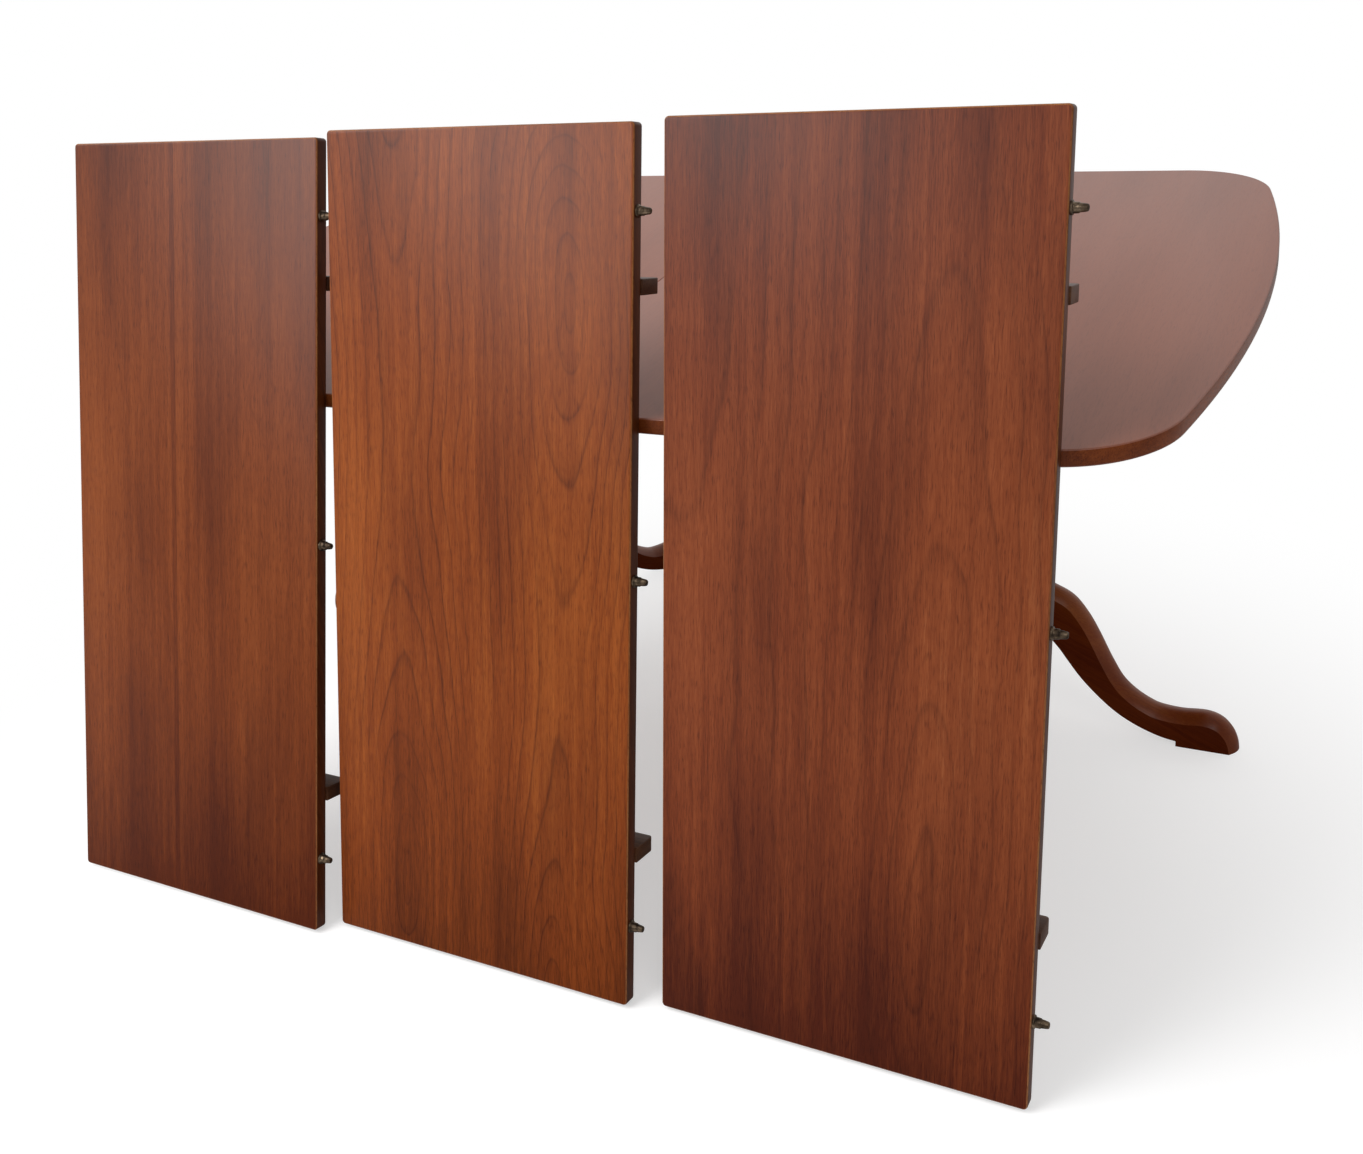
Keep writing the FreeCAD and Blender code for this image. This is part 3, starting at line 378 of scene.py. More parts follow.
def maple(name, turn):
    """Waxed hard maple: pale, close-grained, with faint growth lines and short pore dashes."""
    material, tree = new_material(name)
    coords = add(tree, "ShaderNodeTexCoord")
    local = add(tree, "ShaderNodeMapping", {"Vector": coords.outputs["Object"], "Rotation": turn},
                vector_type="TEXTURE")
    layers = []
    for size, detail in MAPLE_LAYERS:
        sized = add(tree, "ShaderNodeMapping",
                    {"Vector": local, "Scale": [1 / (part * MM) for part in size]})
        layers.append(add(tree, "ShaderNodeTexNoise",
                          {"Vector": sized, "Scale": 1.0, "Detail": detail}))
    colour = add(tree, "ShaderNodeValToRGB", {"Fac": layers[0]}, MAPLE_STOPS)
    dashes = add(tree, "ShaderNodeValToRGB", {"Fac": layers[1]}, MAPLE_PORE_STOPS)
    both = add(tree, "ShaderNodeMix", {"Factor": 1.0, 6: colour, 7: dashes}, data_type="RGBA",
               blend_type="MULTIPLY")
    bump = add(tree, "ShaderNodeBump", {"Height": layers[1], "Strength": MAPLE_RELIEF_STRENGTH,
                                        "Distance": MAPLE_RELIEF})
    shader = add(tree, "ShaderNodeBsdfPrincipled",
                 {"Base Color": both.outputs[2], "Roughness": MAPLE_ROUGHNESS, "IOR": WAX_IOR,
                  "Normal": bump})
    add(tree, "ShaderNodeOutputMaterial", {"Surface": shader})
    return material


METAL_TONE_PLACES = (0.32, 0.52, 0.72)
METAL_ROUGH_PLACES = (0.3, 0.7)
METAL_RELIEF = 0.15 * MM
# How much rougher the dulled hollows are, and how much smoother the rubbed high spots
DULLED = 0.14
RUBBED = 0.06
PATCH_SCALE = 6


def worked_metal(name, tones, roughness, relief, grain, metallic=1.0):
    """A worked metal: tones run from the dulled hollows to the rubbed high spots.

    grain is the size of its specks in mm. Its dull patches are PATCH_SCALE times as large."""
    material, tree = new_material(name)
    coords = add(tree, "ShaderNodeTexCoord")
    spots, specks = [add(tree, "ShaderNodeTexNoise",
                         {"Vector": coords.outputs["Object"], "Scale": 1 / (size * MM),
                          "Detail": detail})
                     for size, detail in ((grain * PATCH_SCALE, 5.0), (grain, 2.0))]
    colour = add(tree, "ShaderNodeValToRGB", {"Fac": spots}, zip(METAL_TONE_PLACES, tones))
    rough = add(tree, "ShaderNodeValToRGB", {"Fac": spots},
                zip(METAL_ROUGH_PLACES, (roughness + DULLED, roughness - RUBBED)))
    bump = add(tree, "ShaderNodeBump", {"Height": specks, "Strength": relief,
                                        "Distance": METAL_RELIEF})
    shader = add(tree, "ShaderNodeBsdfPrincipled",
                 {"Base Color": colour, "Roughness": rough, "Metallic": metallic,
                  "Normal": bump})
    add(tree, "ShaderNodeOutputMaterial", {"Surface": shader})
    return material


# Tones of each wood, from its darkest to its lightest
RED_TONES = ["#501E06", "#6A300E", "#7E3F18", "#905224"]
ORANGE_TONES = ["#5C2705", "#7C390E", "#944D1A", "#AE6A2A"]
DEEP_TONES = ["#4E1C0A", "#6C3014", "#844220", "#9C5C34"]
TOP_TONES = ["#723B26", "#7E4732", "#8A513B", "#985F48"]
LEG_TONES = ["#441103", "#642506", "#804010", "#9C5C24"]
# The legs' sides and crown are one wood, painted darker on the sides and lighter on the crown, as
# light from above
LEG_SIDE_SHADED_TONES = ["#3E0F03", "#5B2005", "#78380E", "#945220"]
LEG_CROWN_LIT_TONES = ["#521A06", "#74330E", "#90501C", "#AA6A30"]
# Leaf edge tones: a darker stain together with painted shade
EDGE_TONES = ["#361203", "#481F06", "#5A2B0E", "#6E3C18"]
# Paler tones for the show arrises: worn wood together with a painted highlight
WORN_AND_HIGHLIT_TONES = ["#6A3818", "#865028", "#9C683C", "#B28054"]
BEARER_TONES = ["#341C10", "#4A2A18", "#644026", "#80583A"]

UPRIGHT = (0, 0, 0)
ALONG_TABLE = (0, math.radians(90), 0)
ACROSS_TABLE = (math.radians(-90), 0, 0)


def leaf_grain(number):
    """The frame of a leaf's grain: its origin and its turn."""
    return tuple(leaf_matrix(number).translation), (-LEAF_LEANS[number], 0, 0)


# Leaf 1 is calm and red, leaf 2 orange with bold arches, and leaf 3 deep brown with wide rings
# Each leaf has painted shade that darkens it towards its ends, and leaf 3 a painted sheen that
# lightens its right side
LEAF_FINISHES = [
    mahogany("leaf_1_red_mahogany", *leaf_grain(0),
             [Plank(0.0, 0.10, 0.16, 0.62, 0.10, -0.10),
              Plank(0.188, 0.10, 0.16, 0.62, 0.10, -0.19),
              Plank(0.197, 0.36, 0.15, 0.30, 0.10, -0.05),
              Plank(0.212, 0.36, 0.15, 0.30, 0.10, -0.11)],
             RED_TONES, rings=12.0, figure=0.13, painted_end_shade=-0.48, lustre=0.09,
             upper_lustre=0.19),
    mahogany("leaf_2_orange_mahogany", *leaf_grain(1),
             [Plank(0.0, 0.115, 0.08, 0.75, 0.18, -0.13),
              Plank(0.229, 0.36, 0.065, 0.45, 0.28, -0.11)],
             ORANGE_TONES, rings=12.5, figure=0.54, painted_end_shade=-0.26, lustre=0.10,
             upper_lustre=0.18),
    mahogany("leaf_3_deep_mahogany", *leaf_grain(2),
             [Plank(0.0, 0.02, 0.20, 0.40, 0.05, -0.13),
              Plank(0.198, 0.33, 0.10, 1.30, 0.08, -0.15)],
             DEEP_TONES, rings=22.0, figure=0.36, painted_end_shade=-0.50, painted_side_sheen=0.24, lustre=0.10,
             upper_lustre=0.20),
]
# The edge faces of the leaves are darker, partly a darker stain and partly painted shade. Their
# show arrises are paler, partly wear rubbed through to pale wood and partly a painted highlight
LEAF_EDGE_FINISH = mahogany("leaf_edge_dark_mahogany", (0, 0, 0), UPRIGHT, [ONE_PIECE],
                            EDGE_TONES, roughness=0.36, lustre=0.15, liveliness=0.7)
WORN_AND_HIGHLIT_ARRIS_FINISH = mahogany("leaf_worn_arris", (0, 0, 0), UPRIGHT, [ONE_PIECE], WORN_AND_HIGHLIT_TONES,
                             figure=0.1)
# The tops lie flat, with the grain across the table as in the leaves, under a brighter lacquer
TOP_ORIGIN = (0, SET_BACK - HALF_WIDTH, TOP_HEIGHT)
TOP_PLANKS = [Plank(-1.0, -0.70, 0.15, 0.5, 0.1, -0.11), Plank(-0.46, -0.30, 0.16, 0.7, 0.1, -0.08),
              Plank(0.0, 0.20, 0.14, 0.4, 0.1, -0.10), Plank(0.42, 0.62, 0.15, 0.6, 0.1, -0.11)]
TOP_FINISH = mahogany("table_top_mahogany", TOP_ORIGIN, ACROSS_TABLE, TOP_PLANKS, TOP_TONES,
                      figure=0.06, roughness=0.42, lustre=0.46, liveliness=0.4)
TOP_EDGE_FINISH = mahogany("table_edge_mahogany", TOP_ORIGIN, ACROSS_TABLE, TOP_PLANKS,
                           RED_TONES, figure=0.15, roughness=0.36, lustre=0.14)
# The pedestals are darker than the boards, and calm
PEDESTAL_PLANK = ONE_PIECE._replace(tone=-0.12)
PEDESTAL_FINISH = mahogany("pedestal_dark_mahogany", (0, SET_BACK, 0), UPRIGHT, [PEDESTAL_PLANK],
                           LEG_TONES, figure=0.2, roughness=0.34, lustre=0.11, liveliness=0.5)
# Dark bearers, with the grain along them
BEARER_FINISH = mahogany("bearer_dark_mahogany", (0, 0, 0), ALONG_TABLE,
                         [ONE_PIECE._replace(depth=0.20)], BEARER_TONES, figure=0.2)


def leg_finish(name, column_x, turn, tones, lustre):
    """The pedestal's wood, with the grain from the root of this leg to its toe."""
    return mahogany(name + "_mahogany", (column_x, SET_BACK, 0),
                    (0, math.radians(90 + LEG_GRAIN_SLOPE), math.radians(turn)),
                    [PEDESTAL_PLANK], tones, figure=0.15, roughness=0.34, lustre=lustre,
                    liveliness=0.5)


# Pale slides and cleats, brown brass with paler high spots, grey steel and nearly black iron
SLIDE_FINISH = maple("slide_waxed_maple", ALONG_TABLE)
CLEAT_FINISH = maple("cleat_waxed_maple", ACROSS_TABLE)
BRASS = worked_metal("dulled_turned_brass", ["#2E2620", "#584A3C", "#84725E"], 0.36, 0.12, 1.2)
STEEL = worked_metal("dull_plated_steel", ["#76706A", "#9A948A", "#B4AFA6"], 0.40, 0.15, 1.2)
IRON = worked_metal("black_cast_iron", ["#151413", "#221F1D", "#2E2A27"], 0.62, 0.5, 0.8, 0.75)


# Meshes

def smooth(mesh, sharp):
    """Smooth shading, with creases where faces meet at more than sharp degrees."""
    mesh.polygons.foreach_set("use_smooth", [True] * len(mesh.polygons))
    mesh.set_sharp_from_angle(angle=math.radians(sharp))


def new_piece(name, bm, sharp=32):
    """An object at the origin whose place is in its mesh."""
    bmesh.ops.recalc_face_normals(bm, faces=bm.faces)
    mesh = bpy.data.meshes.new(name)
    bm.to_mesh(mesh)
    bm.free()
    piece = bpy.data.objects.new(name, mesh)
    scene.collection.objects.link(piece)
    smooth(mesh, sharp)
    return piece


def paint(piece, *finishes):
    """The piece with these finishes only. Its faces choose among them by their index."""
    piece.data.materials.clear()
    for finish in finishes:
        piece.data.materials.append(finish)
    return piece


def baked(piece):
    """The piece with its modifiers turned into plain mesh."""
    bpy.context.view_layer.update()
    seen = piece.evaluated_get(bpy.context.evaluated_depsgraph_get())
    mesh = bpy.data.meshes.new_from_object(seen)
    piece.modifiers.clear()
    piece.data = mesh
    return piece


def cut_away(piece, cutter):
    """Takes out of the piece what the cutter covers, and then removes the cutter."""
    cut = piece.modifiers.new("cut", "BOOLEAN")
    cut.operation = "DIFFERENCE"
    cut.solver = "EXACT"
    cut.object = cutter
    baked(piece)
    bpy.data.objects.remove(cutter)


def bore_sockets(piece, starts):
    """The round blind sockets for the pins, from each start point rightwards."""
    bm = bmesh.new()
    turn = Vector((0, 0, 1)).rotation_difference(RIGHTWARD).to_matrix().to_4x4()
    # Each cutter starts its own radius outside the edge
    middle = RIGHTWARD * (SOCKET_DEPTH / 2 - SOCKET_RADIUS / 2)
    for start in starts:
        bmesh.ops.create_cone(bm, cap_ends=True, segments=PIN_SEGMENTS, radius1=SOCKET_RADIUS,
                              radius2=SOCKET_RADIUS, depth=SOCKET_DEPTH + SOCKET_RADIUS,
                              matrix=Matrix.Translation(start + middle) @ turn)
    cut_away(piece, new_piece(piece.name + "_cutter", bm))
    smooth(piece.data, sharp=40)


def eased_copy(node, width):
    """A copy of a CAD node with its triangles merged into faces and its edges sanded round."""
    bm = bmesh.new()
    bm.from_mesh(nodes[node].data)
    bmesh.ops.remove_doubles(bm, verts=bm.verts, dist=MERGE_DISTANCE)
    bmesh.ops.dissolve_limit(bm, angle_limit=math.radians(1), verts=bm.verts, edges=bm.edges)
    piece = new_piece(node + "_eased", bm)
    bevel = piece.modifiers.new("eased", "BEVEL")
    bevel.width = width
    bevel.segments = 2
    bevel.limit_method = "ANGLE"
    bevel.angle_limit = math.radians(30)
    baked(piece)
    smooth(piece.data, sharp=40)
    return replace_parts(piece, node)


def turned_shape(bm, profile, place, segments):
    """A solid of revolution about local Z, from (radius, height) pairs that start and end at 0."""
    rings = []
    for radius, height in profile:
        turns = [2 * math.pi * k / segments for k in range(segments if radius else 1)]
        rings.append([bm.verts.new(place @ Vector((radius * math.cos(turn),
                                                   radius * math.sin(turn), height)))
                      for turn in turns])
    for lower, upper in zip(rings, rings[1:]):
        for k in range(segments):
            after = (k + 1) % segments
            corners = dict.fromkeys([lower[k % len(lower)], lower[after % len(lower)],
                                     upper[after % len(upper)], upper[k % len(upper)]])
            bm.faces.new(list(corners))


def curve_through(points, steps):
    """A soft curve through the points, each run cut into steps."""
    result = []
    for k in range(len(points) - 1):
        before = points[max(k - 1, 0)]
        start, end = points[k], points[k + 1]
        after = points[min(k + 2, len(points) - 1)]
        for step in range(steps):
            t = step / steps
            result.append(tuple(
                0.5 * (2 * start[i] + (end[i] - before[i]) * t
                       + (2 * before[i] - 5 * start[i] + 4 * end[i] - after[i]) * t * t
                       + (3 * start[i] - before[i] - 3 * end[i] + after[i]) * t ** 3)
                for i in (0, 1)))
    return result + [points[-1]]


# Half tops

def arc(centre_x, centre_y, radius, start, end, steps):
    """Points from one turn to another, both ends included."""
    turns = [start + (end - start) * step / steps for step in range(steps + 1)]
    return [(centre_x + radius * math.cos(turn), centre_y + radius * math.sin(turn))
            for turn in turns]


def half_outline(inset):
    """Right-hand half, drawn in from its rim by inset, and a little from its joint face."""
    half_width = HALF_WIDTH - inset
    half_length = HALF_LENGTH - inset
    corner = CORNER_RADIUS - inset
    joint_x = HALF_SPLIT + JOINT_EASE_SHARE * inset
    bow = (HALF_WIDTH ** 2 + END_BOW ** 2) / (2 * END_BOW) - inset
    bow_centre = half_length - bow
    inner_y = half_width - corner
    corner_x = bow_centre + math.sqrt((bow - corner) ** 2 - inner_y ** 2)
    slope = math.atan2(inner_y, corner_x - bow_centre)
    side_xs = [joint_x] + [corner_x * share for share in SIDE_POINT_SHARES]
    points = [(x, -half_width) for x in side_xs]
    points += arc(corner_x, -inner_y, corner, -math.pi / 2, -slope, CORNER_STEPS)
    points += arc(bow_centre, 0, bow, -slope, slope, BOW_STEPS)[1:]
    points += arc(corner_x, inner_y, corner, slope, math.pi / 2, CORNER_STEPS)[1:]
    return points + [(x, half_width) for x in reversed(side_xs)]


def make_half_top(name, hand):
    """A half top with a small round along its upper arris and a larger one below."""
    quarter = [math.pi / 2 * step / RIM_STEPS for step in range(RIM_STEPS + 1)]
    rows = [(LOWER_ARRIS * (1 - math.sin(turn)),
             TOP_UNDERSIDE + LOWER_ARRIS * (1 - math.cos(turn))) for turn in quarter]
    rows += [(UPPER_ARRIS * (1 - math.cos(turn)),
              TOP_HEIGHT - UPPER_ARRIS * (1 - math.sin(turn))) for turn in quarter]
    bm = bmesh.new()
    rings = []
    for inset, height in rows:
        rings.append([bm.verts.new((hand * x, SET_BACK + hand * y, height))
                      for x, y in half_outline(inset)])
    count = len(rings[0])
    for below, above in zip(rings, rings[1:]):
        for k in range(count):
            after = (k + 1) % count
            bm.faces.new([below[k], below[after], above[after], above[k]])
    bm.faces.new(list(reversed(rings[0])))
    bm.faces.new(rings[-1])
    piece = new_piece(name + "_board", bm)
    if hand > 0:
        bore_sockets(piece, [Vector((HALF_SPLIT, SET_BACK + y, BOARD_MIDDLE))
                             for y in PIN_PLACES])
    paint(piece, TOP_FINISH, TOP_EDGE_FINISH)
    for face in piece.data.polygons:
        face.material_index = int(abs(face.normal.z) < TOP_EDGE_FACING)
    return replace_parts(piece, name)


# Leaves, made upright with the underside at Y = 0 and then leant

def make_leaf(number):
    name = "leaf_%d" % (number + 1)
    bm = bmesh.new()
    centre = Vector((LEAF_WIDTH / 2, -BOARD_THICKNESS / 2, HALF_WIDTH))
    scale = Matrix.Diagonal((LEAF_WIDTH, BOARD_THICKNESS, 2 * HALF_WIDTH, 1))
    bmesh.ops.create_cube(bm, size=1, matrix=Matrix.Translation(centre) @ scale)
    corners = [edge for edge in bm.edges
               if abs(edge.verts[0].co.y - edge.verts[1].co.y) > BOARD_THICKNESS / 2]
    bmesh.ops.bevel(bm, geom=corners, offset=LEAF_CORNER, segments=LEAF_CORNER_STEPS,
                    profile=0.5, affect="EDGES")
    rims = [edge for edge in bm.edges
            if abs(edge.verts[0].co.y - edge.verts[1].co.y) < BOARD_THICKNESS / 2]
    bmesh.ops.bevel(bm, geom=rims, offset=LEAF_WORN_ARRIS, segments=LEAF_ARRIS_STEPS,
                    profile=0.5, affect="EDGES")
    board = new_piece(name + "_plank", bm, sharp=50)
    bore_sockets(board, [Vector((0, -BOARD_THICKNESS / 2, HALF_WIDTH + z)) for z in PIN_PLACES])
    paint(board, LEAF_FINISHES[number], LEAF_EDGE_FINISH, WORN_AND_HIGHLIT_ARRIS_FINISH)
    # The edge faces take the darker finish, partly painted shade, and the show arrises the paler
    # one, partly a painted highlight
    for face in board.data.polygons:
        out = -face.normal.y
        worn_and_highlit = WORN_AND_HIGHLIT_ARRIS_FACING[0] < out < WORN_AND_HIGHLIT_ARRIS_FACING[1]
        face.material_index = 2 if worn_and_highlit else int(abs(out) < LEAF_EDGE_FACING)
    board.data.transform(leaf_matrix(number))
    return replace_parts(board, name + "_board")


# Brass joint pins: a collar, a stepped cone and a dimpled tip. Radius and height in mm.
PIN_PROFILE = [
    (0, 0), (8.0, 0), (8.0, 1.9), (7.5, 2.4), (6.6, 2.6), (6.2, 3.2), (6.1, 5.0), (5.9, 8.3),
    (5.3, 8.9), (5.0, 9.6), (4.7, 12.5), (4.2, 15.8), (3.8, 17.1), (3.1, 17.8), (2.4, 18.0),
    (1.9, 17.8), (1.6, 17.2), (1.3, 16.4), (0, 16.1),
]


def make_pins(node, starts):
    bm = bmesh.new()
    turn = Vector((0, 0, 1)).rotation_difference(RIGHTWARD).to_matrix().to_4x4()
    for start in starts:
        turned_shape(bm, [(radius * MM, height * MM) for radius, height in PIN_PROFILE],
                     Matrix.Translation(start) @ turn, PIN_SEGMENTS)
    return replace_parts(paint(new_piece(node + "_turned", bm, sharp=50), BRASS), node)


# The turned column: radius as a share of the drum's, height as a share of the length between the
# foot of the drum and the cap block. A row of several points is a soft curve.
COLUMN_STEP_SHARES = [
    [(0.93, 0.0)], [(0.985, 0.003)], [(1.0, 0.012)], [(1.0, 0.145)], [(0.985, 0.152)],
    [(0.875, 0.160)], [(0.867, 0.166)], [(0.900, 0.170), (0.975, 0.180), (0.900, 0.192)],
    [(0.70, 0.200)], [(0.64, 0.215)], [(0.633, 0.239)],
    [(0.80, 0.262), (1.0, 0.325), (0.817, 0.460)],
    [(0.69, 0.535), (0.583, 0.620), (0.517, 0.740)],
    [(0.560, 0.746), (0.683, 0.756), (0.600, 0.767)], [(0.550, 0.772)],
    [(0.555, 0.80), (0.575, 0.83), (0.640, 0.860)], [(0.833, 0.880)],
    [(0.93, 0.886), (0.983, 0.903), (0.90, 0.920)], [(0.867, 0.922)], [(0.925, 0.932)],
    [(0.933, 0.945)], [(0.933, 1.0)],
]


def make_column(name, column_x):
    height = CAP_UNDERSIDE - LEG_ROOT_Z
    profile = [(0, 0)]
    for row in COLUMN_STEP_SHARES:
        profile += [(r * DRUM_RADIUS, z * height)
                    for r, z in curve_through(row, COLUMN_CURVE_STEPS)]
    profile.append((0, height))
    bm = bmesh.new()
    turned_shape(bm, profile, Matrix.Translation((column_x, SET_BACK, LEG_ROOT_Z)),
                 COLUMN_SEGMENTS)
    piece = new_piece(name + "_turned", bm, sharp=28)
    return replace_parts(paint(piece, PEDESTAL_FINISH), name)


# Legs: X out from the column, Z up, as shares of the reach and the rise. The crease is where a
# flat side meets the crowned top.
LEG_CREASE_SHARES = [
    (0.2, 1.0), (0.326, 0.987), (0.381, 0.953), (0.435, 0.898), (0.477, 0.797), (0.512, 0.674),
    (0.553, 0.504), (0.595, 0.360), (0.644, 0.267), (0.700, 0.203), (0.742, 0.178),
    (0.809, 0.169), (0.884, 0.180), (0.926, 0.157), (0.951, 0.106), (0.963, 0.052),
    (0.967, 0.0),
]
LEG_HOLLOW_START_SHARE = 0.242
LEG_UNDER_SHARES = [
    (0.302, 0.763), (0.356, 0.708), (0.405, 0.606), (0.433, 0.530), (0.481, 0.403),
    (0.544, 0.275), (0.605, 0.178), (0.672, 0.106), (0.742, 0.057),
]


def leg_shape(bm, place):
    """A leg with a crowned top, flat sides, a hollow under side and a pad under its toe."""
    half = Vector((0, LEG_THICKNESS / 2, 0))
    crease = [(LEG_ROOT_X, LEG_RISE)]
    crease += [(x * LEG_REACH, z * LEG_RISE) for x, z in LEG_CREASE_SHARES]
    crease = [Vector((x, 0, z)) for x, z in curve_through(crease, CREASE_STEPS)]
    under = [(LEG_HOLLOW_START_SHARE * LEG_REACH, LEG_ROOT_Z)]
    under += [(x * LEG_REACH, z * LEG_RISE) for x, z in LEG_UNDER_SHARES]
    under.append((LEG_PAD_START, LEG_PAD_HEIGHT))
    under = curve_through(under, UNDER_STEPS)
    under = [(LEG_ROOT_X, LEG_ROOT_Z)] + under + [(LEG_PAD_START, 0)]
    under = [Vector((x, 0, z)) for x, z in under]
    grid = []
    for k, point in enumerate(crease):
        along = crease[min(k + 1, len(crease) - 1)] - crease[max(k - 1, 0)]
        if k == len(crease) - 1:
            along = DOWNWARD
        out = Vector((-along.z, 0, along.x)).normalized()
        row = []
        for step in range(CROWN_STEPS + 1):
            turn = math.pi * step / CROWN_STEPS
            crown = out * (LEG_CROWN * math.sin(turn) ** 2)
            row.append(bm.verts.new(place @ (point + crown + half * math.cos(turn))))
        grid.append(row)
    for first, second in zip(grid, grid[1:]):
        for step in range(CROWN_STEPS):
            bm.faces.new([first[step], first[step + 1], second[step + 1], second[step]])
    left = [bm.verts.new(place @ (point + half)) for point in under]
    right = [bm.verts.new(place @ (point - half)) for point in under]
    for k in range(len(under) - 1):
        bm.faces.new([left[k], left[k + 1], right[k + 1], right[k]])
    bm.faces.new([row[0] for row in grid] + list(reversed(left)))
    bm.faces.new([row[-1] for row in reversed(grid)] + right)
    bm.faces.new(grid[0] + [right[0], left[0]])
    bm.faces.new(grid[-1] + [right[-1], left[-1]])


def make_leg(name, column_x, turn):
    bm = bmesh.new()
    place = (Matrix.Translation((column_x, SET_BACK, 0))
             @ Matrix.Rotation(math.radians(turn), 4, "Z"))
    leg_shape(bm, place)
    # The hollow side faces are only cut up rightly once their normals are known
    bm.normal_update()
    bmesh.ops.triangulate(bm, faces=[face for face in bm.faces if len(face.verts) > 4])
    piece = new_piece(name + "_carved", bm, sharp=30)
    # Painted light: the crown gets lighter tones, as if lit from above, and the flat sides darker
    # ones, as painted shade
    paint(piece, leg_finish(name + "_crown", column_x, turn, LEG_CROWN_LIT_TONES, lustre=0.26),
          leg_finish(name + "_side", column_x, turn, LEG_SIDE_SHADED_TONES, lustre=0.05))
    across = Vector((-math.sin(math.radians(turn)), math.cos(math.radians(turn)), 0))
    for face in piece.data.polygons:
        face.material_index = int(abs(face.normal.dot(across)) > LEG_SIDE_FACING)
    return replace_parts(piece, name)


# Slotted countersunk wood screws, set in rows by Geometry Nodes. Radius and height of the head's
# outline in mm, from the middle of its face to its neck.
SCREW_PROFILE = [(0, 0.9), (3.2, 0.75), (3.9, 0.35), (4.0, 0), (2.2, -1.8), (0, -1.8)]
SCREW_FACE = 0.9 * MM
SLOT_SIZE = (12 * MM, 1.1 * MM, 1.3 * MM)
SMALL_SCREW_SCALE = 0.6


def screw_head():
    """The head of a wood screw, 8 mm across, with its face up."""
    bm = bmesh.new()
    turned_shape(bm, [(radius * MM, height * MM) for radius, height in SCREW_PROFILE],
                 Matrix.Identity(4), SCREW_SEGMENTS)
    piece = new_piece("screw_head", bm)
    bm = bmesh.new()
    bmesh.ops.create_cube(bm, size=1, matrix=Matrix.Translation((0, 0, SCREW_FACE))
                          @ Matrix.Diagonal((*SLOT_SIZE, 1)))
    cut_away(piece, new_piece("slot_cutter", bm))
    return piece


def screw_tree(head, finish):
    """Places the head on every point of a mesh, each turned at random about its own axis."""
    tree = bpy.data.node_groups.new("wood_screws", "GeometryNodeTree")
    face = tree.interface
    face.new_socket("Geometry", in_out="INPUT", socket_type="NodeSocketGeometry")
    face.new_socket("Head scale", in_out="INPUT", socket_type="NodeSocketFloat")
    face.new_socket("Seed", in_out="INPUT", socket_type="NodeSocketInt")
    face.new_socket("Geometry", in_out="OUTPUT", socket_type="NodeSocketGeometry")
    inputs = add(tree, "NodeGroupInput")
    points = add(tree, "GeometryNodeMeshToPoints", {"Mesh": inputs})
    thing = add(tree, "GeometryNodeObjectInfo", {"Object": head})
    facing = add(tree, "GeometryNodeInputNamedAttribute", {"Name": "facing"},
                 data_type="FLOAT_VECTOR")
    align = add(tree, "FunctionNodeAlignRotationToVector", {"Vector": facing}, axis="Z")
    # Sockets 2 and 3 are the least and the greatest number
    spin = add(tree, "FunctionNodeRandomValue",
               {2: 0.0, 3: math.pi, "Seed": inputs.outputs["Seed"]}, data_type="FLOAT")
    about = add(tree, "FunctionNodeAxisAngleToRotation",
                {"Axis": (0, 0, 1), "Angle": spin.outputs[1]})
    turn = add(tree, "FunctionNodeRotateRotation", {"Rotation": align, "Rotate By": about},
               rotation_space="LOCAL")
    placed = add(tree, "GeometryNodeInstanceOnPoints",
                 {"Points": points, "Instance": thing.outputs["Geometry"], "Rotation": turn,
                  "Scale": inputs.outputs["Head scale"]})
    real = add(tree, "GeometryNodeRealizeInstances", {"Geometry": placed})
    painted = add(tree, "GeometryNodeSetMaterial", {"Geometry": real, "Material": finish})
    add(tree, "NodeGroupOutput", {"Geometry": painted})
    return tree


def make_screws(name, body, places, scale, seed, tree):
    """One plain mesh of screws from (point, outward direction) pairs."""
    mesh = bpy.data.meshes.new(name)
    mesh.from_pydata([point for point, _ in places], [], [])
    facing = mesh.attributes.new("facing", "FLOAT_VECTOR", "POINT")
    facing.data.foreach_set("vector", [part for _, way in places for part in way])
    piece = bpy.data.objects.new(name, mesh)
    scene.collection.objects.link(piece)
    sockets = {item.name: item.identifier for item in tree.interface.items_tree
               if item.in_out == "INPUT"}
    spread = piece.modifiers.new("screws", "NODES")
    spread.node_group = tree
    spread[sockets["Head scale"]] = scale
    spread[sockets["Seed"]] = seed
    baked(piece)
    smooth(piece.data, sharp=35)
    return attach(piece, body)


def screw_rows(xs, ys, z):
    """Heads on the underside of the table, in mm, with y from the middle of the table."""
    return [(Vector((x * MM, SET_BACK + y * MM, z * MM)), DOWNWARD) for x in xs for y in ys]


# Build: each half by its name, its hand, the turn of its first leg, and its legs in order. The
# left half is the right one turned half round, so its legs come in another order.

HALVES = [("left", -1, 180, ("outer", "front", "rear")),
          ("right", 1, 0, ("outer", "rear", "front"))]

for number in range(LEAF_COUNT):
    body = "leaf_%d" % (number + 1)
    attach(make_leaf(number), body)
    starts = [leaf_matrix(number) @ Vector((LEAF_WIDTH, -BOARD_THICKNESS / 2, HALF_WIDTH + z))
              for z in PIN_PLACES]
    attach(make_pins(body + "_pins", starts), body)
    bearers = paint(eased_copy(body + "_bearers", BEARER_ARRIS), BEARER_FINISH)
    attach(bearers, body)

